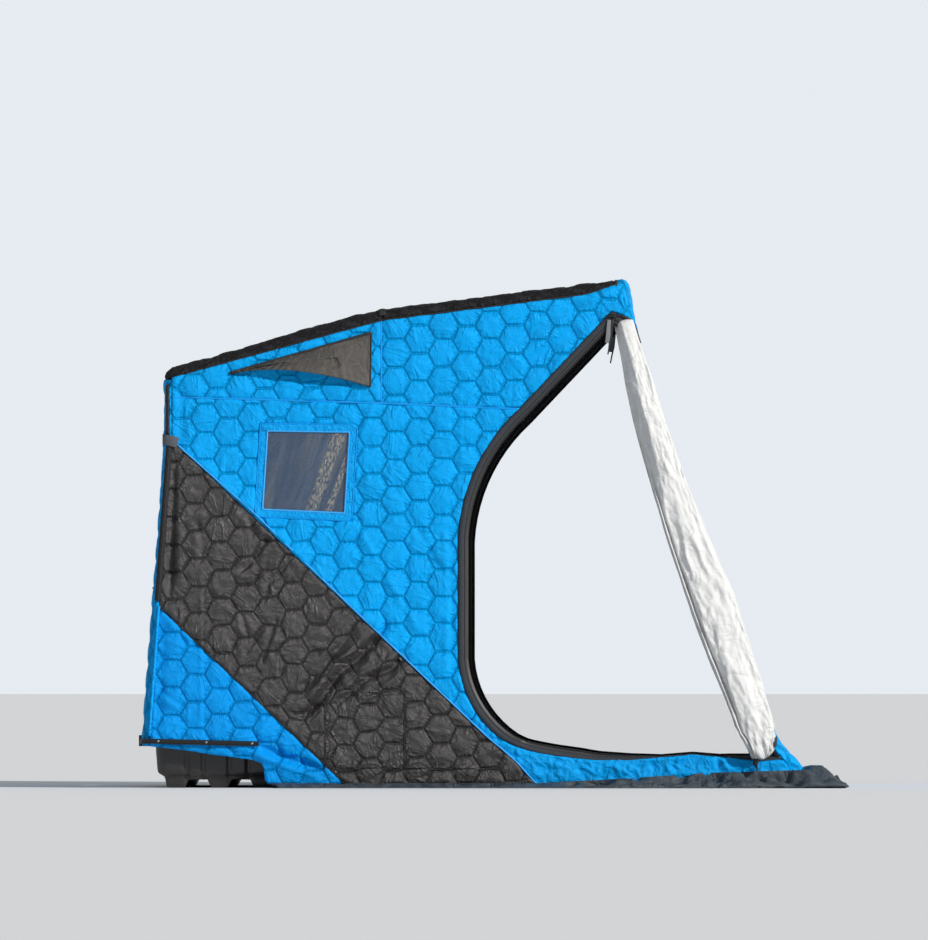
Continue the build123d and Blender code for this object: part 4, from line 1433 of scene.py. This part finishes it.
for side, name in SIDES:
    # u runs down the roll, v round it
    bm, u, v = sheet_grid(250, 96)
    share = STATIONS[0, 0] + (STATIONS[-1, 0] - STATIONS[0, 0]) * u
    shift, radius, stand = (np.interp(share, STATIONS[:, 0], STATIONS[:, k]) for k in (1, 2, 3))
    tangent = corner_place(share + 0.01) - corner_place(share - 0.01)
    tangent /= np.linalg.norm(tangent, axis=1)[:, None]
    across = np.column_stack([-tangent[:, 1], tangent[:, 0]])
    theta = v * 2 * math.pi
    length = share * CORNER_LENGTH
    wrap = np.column_stack([np.cos(theta) * 0.16, np.sin(theta) * 0.16, length])
    lane = np.column_stack([0 * length, 0 * length, length])
    grown = np.clip(u * 7, 0, 1)
    high = np.clip((0.47 - share) / 0.12, 0, 1)
    swell = radius * (1 + 0.030 * wander(wrap * np.array([1, 1, 0.6]), 4, 81))
    folds = 0.0070 * crumple(wrap * np.array([1.0, 1.0, 0.42]), 6.5, 83)
    folds += 0.0032 * crumple(wrap * np.array([1, 1, 0.7]), 15, 85)
    swell += 0.35 * folds * grown
    tail = np.clip((u - 0.84) / 0.16, 0, 1)
    swell += 0.012 * tail * crumple(wrap, 9, 87)
    ends = np.clip(np.minimum(u * 2, 1 - u) * 60, 0, 1)
    swell *= np.sqrt(np.clip(1 - (1 - ends) ** 2, 0.02, 1))
    spot = corner_place(share) + np.column_stack([shift, 0 * shift])
    spot += across * (swell * np.cos(theta))[:, None]
    outer = np.sin(theta) > 0
    leftward = -np.cos(theta)
    front = 0.78 * np.abs(np.sin(theta)) ** 0.45
    front -= high * 0.95 * np.clip(leftward - 0.22 - 0.10 * wander(lane, 5, 88), 0, 1) ** 1.1
    front -= (1 - high) * 0.26 * np.exp(-(((leftward - 0.80) / 0.045) ** 2))
    front += (1 - high) * 0.10 * np.exp(-(((leftward - 0.90) / 0.05) ** 2))
    depth = HALF + stand + swell * np.where(outer, np.maximum(front, 0), 0.50 * np.sin(theta))
    depth += folds * grown * outer
    depth = np.where(share > 0.14, np.maximum(depth, HALF + 0.004), depth)
    lay_points(bm, np.column_stack([spot[:, 0], side * np.minimum(depth, 0.985), spot[:, 1]]))
    bmesh.ops.remove_doubles(bm, verts=bm.verts[:], dist=5e-5)
    close_ends(bm)
    places = corners(bm)
    roll = finish_mesh(bm, f"{name}_rolled_door", [WHITE], places[:, (0, 2)])
    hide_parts(f"{name}_door_roll")

SKIRT_LOW = 0.0035  # the skirts lie this far above the ice


def skirt_piece(bm, name, x, y, z, uv):
    """Lays a grid out as a skirt's cloth, its upper face up."""
    lay_points(bm, np.column_stack([x, y, z]))
    face_along(bm, Vector((0, 0, 1)))
    return thicken(finish_mesh(bm, name, [SKIRT], uv), 0.002)


# Height of the hem that the side skirt hangs from
HEM_X = np.array([-0.908, 0.168, 0.50, 0.85, 1.232])
HEM_Z = np.array([0.016, 0.016, 0.034, 0.058, 0.070])
for side, name in SIDES:
    # u runs forwards along the hem, v out over the ice
    bm, u, v = sheet_grid(250, 22)
    along_x = -0.906 + 2.130 * u
    x = along_x + v * (0.040 - 0.040 * u) + 0.19 * np.clip((u - 0.90) / 0.10, 0, 1) ** 1.5 * v
    hem_z = np.interp(along_x, HEM_X, HEM_Z)
    slope = np.clip(v / 0.42, 0, 1)
    flat = np.column_stack([x, v * 0.19, 0 * u])
    sharp = crumple(flat * np.array([1, 0.5, 1]), 6, 91 + side)
    fine_folds = crumple(flat, 13, 92 + side)
    soft = wander(flat, 13, 93 + side)
    edge = np.clip(v * 9, 0, 1)
    z = hem_z * (1 - slope) ** 1.1 + 0.003
    ridges = np.clip(0.8 * sharp + 0.5 * soft + 0.10, 0, 1) * (0.012 + 0.50 * hem_z)
    z += (ridges + 0.26 * hem_z * fine_folds) * edge
    away = 0.820 + 0.026 * slope + 0.138 * np.clip((v - 0.30) / 0.70, 0, 1)
    waves = (0.022 * sharp + 0.011 * fine_folds + 0.008 * soft) * (0.4 + 6 * hem_z)
    away += waves * edge * np.clip(3 - 2.6 * v, 0, 1)
    top = (hem_z * 0.98 + 0.003) * np.clip(4.5 - 4.4 * v, 0.1, 1)
    x, y, z = np.minimum(x, 1.405), side * np.clip(away, 0.812, 0.998), np.clip(z, SKIRT_LOW, top)
    skirt = skirt_piece(bm, f"{name}_skirt_cloth", x, y, z, np.column_stack([u * 2.3, v * 0.19]))
    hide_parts(f"{name}_skirt")

# The front skirt: u runs across the hut, v forwards over the ice
bm, u, v = sheet_grid(190, 34)
reach_y = (u - 0.5) * 2
y = reach_y * (0.826 + 0.158 * v)
flat = np.column_stack([y, v * 0.26, 0 * u])
arch = np.sin(np.clip(v / 0.80, 0, 1) * math.pi) ** 0.8 * (0.62 - 0.38 * reach_y)
peaks = 0.5 + 0.5 * wander(flat * np.array([0.8, 0.4, 1]), 5, 101)
closing = np.clip((1 - np.abs(reach_y)) / 0.13, 0, 1) ** 0.7
sharp = crumple(flat * np.array([1, 0.8, 1]), 5.5, 103)
held = np.maximum(closing, 1 - np.clip(v * 3, 0, 1))
z = 0.068 * (1 - v) ** 1.1 * (0.25 + 0.75 * held) + 0.003
z += arch * (0.010 + 0.030 * peaks + 0.020 * np.exp(-(((np.abs(y) - 0.80) / 0.10) ** 2))) * closing
creases = sharp * 0.011 + crumple(flat, 13, 107) * 0.0035
z += creases * np.clip(v * 8, 0, 1) * np.clip((1 - v) * 6 + 0.3, 0, 1)
x = 1.229 + 0.180 * v + (0.012 * wander(flat, 5, 105) + 0.010 * sharp) * v
x, z = np.clip(x, 1.2, 1.425), np.clip(z, SKIRT_LOW, 0.09)
skirt = skirt_piece(bm, "front_skirt_cloth", x, y, z, np.column_stack([u * 1.8, v * 0.26]))
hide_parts("front_skirt")


def tube(name, path, radius, material, sides=20):
    """A round tube along a path with its ends closed."""
    path = [Vector(p) for p in path]
    bm = bmesh.new()
    aims = [(b - a).normalized() for a, b in zip(path, path[1:])]
    aims = [aims[0], *[(a + b).normalized() for a, b in zip(aims, aims[1:])], aims[-1]]
    side_axis = Vector((0, 0, 1)).cross(aims[0]).normalized()
    if side_axis.length < 0.5:
        side_axis = Vector((1, 0, 0))
    ring = bmesh.ops.create_circle(bm, cap_ends=False, segments=sides, radius=radius)["verts"]
    edges = bm.edges[:]
    spots = [v.co.copy() for v in ring]
    for number, (spot, aim) in enumerate(zip(path, aims)):
        side_axis = (side_axis - aim * side_axis.dot(aim)).normalized()
        up = aim.cross(side_axis)
        if number:
            ring, edges = grow_row(bm, ring, edges)
        for v, flat_spot in zip(ring, spots):
            v.co = spot + side_axis * flat_spot.x + up * flat_spot.y
    close_ends(bm)
    return finish_mesh(bm, name, [material])


def hoop_path(foot, top, level=0.795, elbow=0.070, steps=8):
    """Up one side, over and down the other, with a bent elbow at each upper corner."""
    right_foot = Vector((foot[0], -level, foot[1]))
    right_top = Vector((top[0], -level, top[1]))
    down = (right_foot - right_top).normalized()
    cross = Vector((0, 1, 0))
    middle = right_top + (down + cross) * elbow
    bent = [
        middle - (cross * math.cos(t) + down * math.sin(t)) * elbow
        for t in (k * math.pi / 2 / steps for k in range(steps + 1))
    ]
    half = [right_foot, *bent]
    return half + [Vector((p.x, -p.y, p.z)) for p in reversed(half)]


# Each hoop's foot and its upper corner, as (x, z)
for node, foot, top in (
    ("rear_hoop", (-1.145, 0.216), (-1.301, 1.627)), ("middle_hoop", (-1.088, 0.216), (-0.459, 1.889)),
    ("front_hoop", (-1.040, 0.216), (0.499, 2.011)), ("base_hoop", (-0.950, 0.260), (1.207, 0.0155)),
):
    hoop = tube(f"{node}_tube", hoop_path(foot, top), 0.0148, STEEL)
    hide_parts(node)


def rivet(name, spot, outward, height):
    """A domed rivet head."""
    radius = 0.0052
    bm = bmesh.new()
    bmesh.ops.create_circle(bm, cap_ends=True, segments=14, radius=radius)
    face = next(iter(bm.faces))
    for share, lift in ((1.0, height * 0.4), (0.82, height * 0.35), (0.45, height * 0.25)):
        grown = bmesh.ops.extrude_face_region(bm, geom=[face])["geom"]
        top = [g for g in grown if isinstance(g, bmesh.types.BMVert)]
        face = next(g for g in grown if isinstance(g, bmesh.types.BMFace))
        bmesh.ops.translate(bm, vec=(0, 0, lift), verts=top)
        reach = top[0].co.xy.length
        bmesh.ops.scale(bm, vec=(share * radius / reach, share * radius / reach, 1), verts=top)
    turn = Vector((0, 0, 1)).rotation_difference(Vector(outward)).to_matrix()
    bmesh.ops.recalc_face_normals(bm, faces=bm.faces[:])
    bmesh.ops.rotate(bm, matrix=turn, verts=bm.verts[:])
    bmesh.ops.translate(bm, vec=spot, verts=bm.verts[:])
    finish_mesh(bm, name, [STEEL])


def swept(name, path, section, material, bevel):
    """A bar of one section along a path, its height kept upright and its ends closed."""
    path = [Vector(p) for p in path]
    bm = bmesh.new()
    ring, edges = closed_ring(bm, len(section))
    for number, spot in enumerate(path):
        aim = (path[min(number + 1, len(path) - 1)] - path[max(number - 1, 0)]).normalized()
        level = Vector((0, 0, 1)).cross(aim).normalized()
        if number:
            ring, edges = grow_row(bm, ring, edges)
        for v, (out, up) in zip(ring, section):
            v.co = spot + level * out + Vector((0, 0, up))
    close_ends(bm)
    piece = finish_mesh(bm, name, [material], smooth=False)
    soften(piece, bevel)
    return piece


RAIL_SECTION = (
    (0.004, -0.010), (-0.004, -0.0105), (-0.004, -0.0075), (-0.0015, -0.0055), (-0.0015, 0.006),
    (-0.003, 0.0085), (0.004, 0.010),
)
for side, name in SIDES:
    # the rail runs straight along the side, and bends round the rear corner
    corner = [
        (-1.368 - 0.055 * math.sin(t), side * (0.787 + 0.055 * math.cos(t)), 0.1865)
        for t in np.linspace(0, 1.35, 9)
    ]
    path = [(-0.946, side * 0.842, 0.1760), (-1.150, side * 0.842, 0.1812), *corner]
    section = [(side * out, up) for out, up in RAIL_SECTION]
    rail = swept(f"{name}_rail_bar", path, section, RAIL, bevel=0.0008)
    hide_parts(f"{name}_rail")
    for number, (x, z) in enumerate(((-1.348, 0.1862), (-1.156, 0.1815), (-0.973, 0.1770))):
        rivet(f"{name}_rail_rivet_{number}", (x, side * 0.8430, z), (0, side, 0), 0.0032)
for number, y in enumerate(np.linspace(-0.72, 0.72, 7)):
    rivet(f"rear_rail_rivet_{number}", (-1.4275, y, 0.188), (-1, 0, 0), 0.0004)


# Middles of the channels between the runners and of the flutes in the side walls, in x
CHANNELS = (-1.193, -1.021, -0.820)
FLUTES = (-1.237, -1.170, -1.066, -0.990, -0.860)
# The hull's wall from the rim down: height, and how far it is drawn in
HULL_ROWS = (
    (0.183, 0.000), (0.172, 0.000), (0.160, 0.001), (0.140, 0.002), (0.115, 0.004), (0.090, 0.006),
    (0.070, 0.008), (0.062, 0.010), (0.055, 0.016), (0.050, 0.026), (0.045, 0.034), (0.038, 0.038),
    (0.028, 0.040), (0.016, 0.042), (0.006, 0.044), (0.0, 0.050),
)


def sled_hull():
    """The moulded tub: upright fluted walls, a stepped foot, and channels pressed up between its runners."""
    rear_x, front_x, half_width, corner = -1.364, -0.586, 0.752, 0.055
    plan = []
    # each corner, where its arc starts, where the wall after it ends, and the wall's spacing
    for cx, cy, start, after, step in (
        (front_x - corner, half_width - corner, 0, (rear_x + corner, half_width), 0.0045),
        (rear_x + corner, half_width - corner, 90, (rear_x, corner - half_width), 0.05),
        (rear_x + corner, corner - half_width, 180, (front_x - corner, -half_width), 0.0045),
        (front_x - corner, corner - half_width, 270, (front_x, half_width - corner), 0.05),
    ):
        for t in np.radians(start + np.linspace(0, 90, 8)):
            plan.append(np.array([cx + corner * math.cos(t), cy + corner * math.sin(t)]))
        wall = np.array(after) - plan[-1]
        count = int(np.linalg.norm(wall) / step)
        plan += [plan[-1] + wall * k / count for k in range(1, count)]
    plan = np.array(plan)
    along_plan = np.roll(plan, -1, axis=0) - np.roll(plan, 1, axis=0)
    along_plan /= np.linalg.norm(along_plan, axis=1)[:, None]
    inward = np.column_stack([-along_plan[:, 1], along_plan[:, 0]])
    x = plan[:, 0]
    channel = np.zeros(len(x))
    for middle in CHANNELS:
        channel = np.maximum(channel, 0.031 * np.clip((0.052 - np.abs(x - middle)) / 0.014, 0, 1))
    side_wall = np.clip((np.abs(plan[:, 1]) - half_width + 0.010) / 0.008, 0, 1)
    groove = sum(np.exp(-(((x - at) / 0.012) ** 2)) for at in FLUTES) * side_wall
    bm = bmesh.new()
    ring, edges = closed_ring(bm, len(plan))
    for number, (z, tuck) in enumerate(HULL_ROWS):
        if number:
            ring, edges = grow_row(bm, ring, edges)
        depth = tuck + 0.012 * groove * np.clip((0.166 - z) / 0.012, 0, 1) * np.clip(z / 0.05, 0, 1)
        at = plan + inward * depth[:, None]
        for v, spot, low in zip(ring, at, channel):
            v.co = (spot[0], spot[1], max(z, low + 0.0008 * (len(HULL_ROWS) - number)))
    for share in (0.75, 0.5, 0.25):
        ring, edges = grow_row(bm, ring, edges)
        for v, spot in zip(ring, at):
            v.co = (spot[0], spot[1] * share, v.co.z)
    halves = [
        [e for e in edges if sign * (e.verts[0].co.y + e.verts[1].co.y) > 1e-6] for sign in (1, -1)
    ]
    bmesh.ops.bridge_loops(bm, edges=halves[0] + halves[1])
    bmesh.ops.recalc_face_normals(bm, faces=bm.faces[:])
    if sum(f.normal.z * f.calc_area() for f in bm.faces if f.calc_center_median().z < 0.04) > 0:
        bmesh.ops.reverse_faces(bm, faces=bm.faces[:])
    hull = finish_mesh(bm, "sled_hull", [SLED])
    thicken(hull, 0.006)
    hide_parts("sled")


sled_hull()


def strap(name, centre_line, width, thickness, material, slot_name, width_axis, twist=0.0, taper=1.0):
    """A flat strap along a line of points."""
    bm = bmesh.new()
    count = len(centre_line)
    for number, spot in enumerate(centre_line):
        spot = Vector(spot)
        ahead = Vector(centre_line[min(number + 1, count - 1)]) - Vector(centre_line[max(number - 1, 0)])
        aim = ahead.normalized()
        axis = Vector(width_axis)
        axis = (axis - aim * axis.dot(aim)).normalized()
        angle = twist * number / (count - 1)
        axis = (axis * math.cos(angle) + aim.cross(axis) * math.sin(angle)) * width / 2
        axis *= 1 + (taper - 1) * number / (count - 1)
        if number == 0:
            ring = [bm.verts.new(spot - axis), bm.verts.new(spot), bm.verts.new(spot + axis)]
            edges = [bm.edges.new(pair) for pair in zip(ring, ring[1:])]
            continue
        ring, edges = grow_row(bm, ring, edges)
        for v, place in zip(ring, (spot - axis, spot, spot + axis)):
            v.co = place
    bmesh.ops.recalc_face_normals(bm, faces=bm.faces[:])
    places = corners(bm)
    piece = thicken(finish_mesh(bm, name, [material], places[:, (0, 2)]), thickness)
    soften(piece, thickness * 0.3)


# Straps: the points of each (x, out from the side wall, z), then width, thickness, finish and width's way
ALONG, UPRIGHT = (1, 0, 0), (0, 0, 1)
STRAPS = {
    "zip_pull": (
        [(0.462, 0.014, 1.872), (0.459, 0.014, 1.850), (0.456, 0.016, 1.815), (0.452, 0.014, 1.780)],
        0.022, 0.0024, TAPE, "white_lining", ALONG, {},
    ),
    "zip_cord": (
        [(0.472, 0.018, 1.876), (0.470, 0.019, 1.840), (0.466, 0.018, 1.800), (0.458, 0.016, 1.765),
         (0.452, 0.014, 1.734)],
        0.007, 0.004, ZIP, "grey_trim", ALONG, {"taper": 0.8},
    ),
    "zip_slider": (
        [(0.440, 0.014, 1.884), (0.462, 0.017, 1.890), (0.486, 0.016, 1.886)],
        0.010, 0.007, RAIL, "grey_trim", UPRIGHT, {},
    ),
    "corner_tab": (
        [(-1.3335, -0.041, 1.396), (-1.3325, -0.019, 1.396), (-1.3215, 0.003, 1.394), (-1.300, 0.012, 1.389),
         (-1.270, 0.011, 1.382)],
        0.042, 0.0024, TAB, "grey_trim", UPRIGHT, {},
    ),
    "roll_tie": (
        [(1.048, 0.036, 0.066), (1.040, 0.042, 0.092), (1.048, 0.048, 0.122), (1.072, 0.056, 0.146),
         (1.100, 0.056, 0.158), (1.124, 0.046, 0.176), (1.130, 0.026, 0.200)],
        0.026, 0.0035, GREY, "grey_trim", (-0.2, 0, 1), {"twist": 0.5},
    ),
}
for side, name in SIDES:
    for part, (line, width, thickness, material, slot_name, width_axis, more) in STRAPS.items():
        line = [(x, side * (HALF + out), z) for x, out, z in line]
        strap(f"{name}_{part}", line, width, thickness, material, slot_name, width_axis, **more)


def make_stage():
    """A wide pale floor, a pale sky that lights the hut, and a low sun."""
    bm = bmesh.new()
    bmesh.ops.create_grid(bm, x_segments=1, y_segments=1, size=300)
    mesh = bpy.data.meshes.new("snow_floor")
    bm.to_mesh(mesh)
    bm.free()
    floor = bpy.data.objects.new("snow_floor", mesh)
    bpy.context.scene.collection.objects.link(floor)
    floor.location.z = -0.001
    mesh.materials.append(new_material("pale_floor", (0.82, 0.83, 0.85, 1), 0.9)[0])
    floor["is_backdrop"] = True
    world = bpy.data.worlds.new("sky")
    bpy.context.scene.world = world
    world.use_nodes = True
    tree = world.node_tree
    background = tree.nodes["Background"]
    ray = tree.nodes.new("ShaderNodeLightPath").outputs
    seen = maths(tree, "MAXIMUM", ray["Is Camera Ray"], ray["Is Transmission Ray"])
    strength = maths(tree, "ADD", 0.37, maths(tree, "MULTIPLY", seen, 0.51))
    background.inputs["Color"].default_value = (0.90, 0.95, 1.0, 1)
    tree.links.new(strength, background.inputs["Strength"])
    sun = bpy.data.lights.new("low_sun", "SUN")
    sun.energy = 3.6
    sun.angle = math.radians(5)
    sun.color = (1.0, 0.97, 0.92)
    lamp = bpy.data.objects.new("low_sun", sun)
    bpy.context.scene.collection.objects.link(lamp)
    lamp.rotation_euler = Vector((0.74, -0.60, 0.43)).to_track_quat("Z", "Y").to_euler()


def make_camera():
    """A long lens far off to the right, so that the side is seen square on as in the photo."""
    data = bpy.data.cameras.new("photo_view")
    data.lens = 574
    data.sensor_width = 36
    data.clip_start = 1
    data.clip_end = 400
    camera = bpy.data.objects.new("photo_view", data)
    bpy.context.scene.collection.objects.link(camera)
    camera.location = (0.836, -60.825, 0.45)
    target = Vector((-0.124, -0.825, 1.272))
    camera.rotation_mode = "QUATERNION"
    camera.rotation_quaternion = (target - camera.location).to_track_quat("-Z", "Y")
    bpy.context.scene.camera = camera


make_stage()
make_camera()
bpy.context.scene.view_settings.view_transform = "Standard"

for node, material in (("rear_rail", RAIL), ("hinge_brackets", BRACKET), ("vent_meshes", NET)):
    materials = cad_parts[node].data.materials
    materials.clear()
    materials.append(material)

low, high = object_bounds()
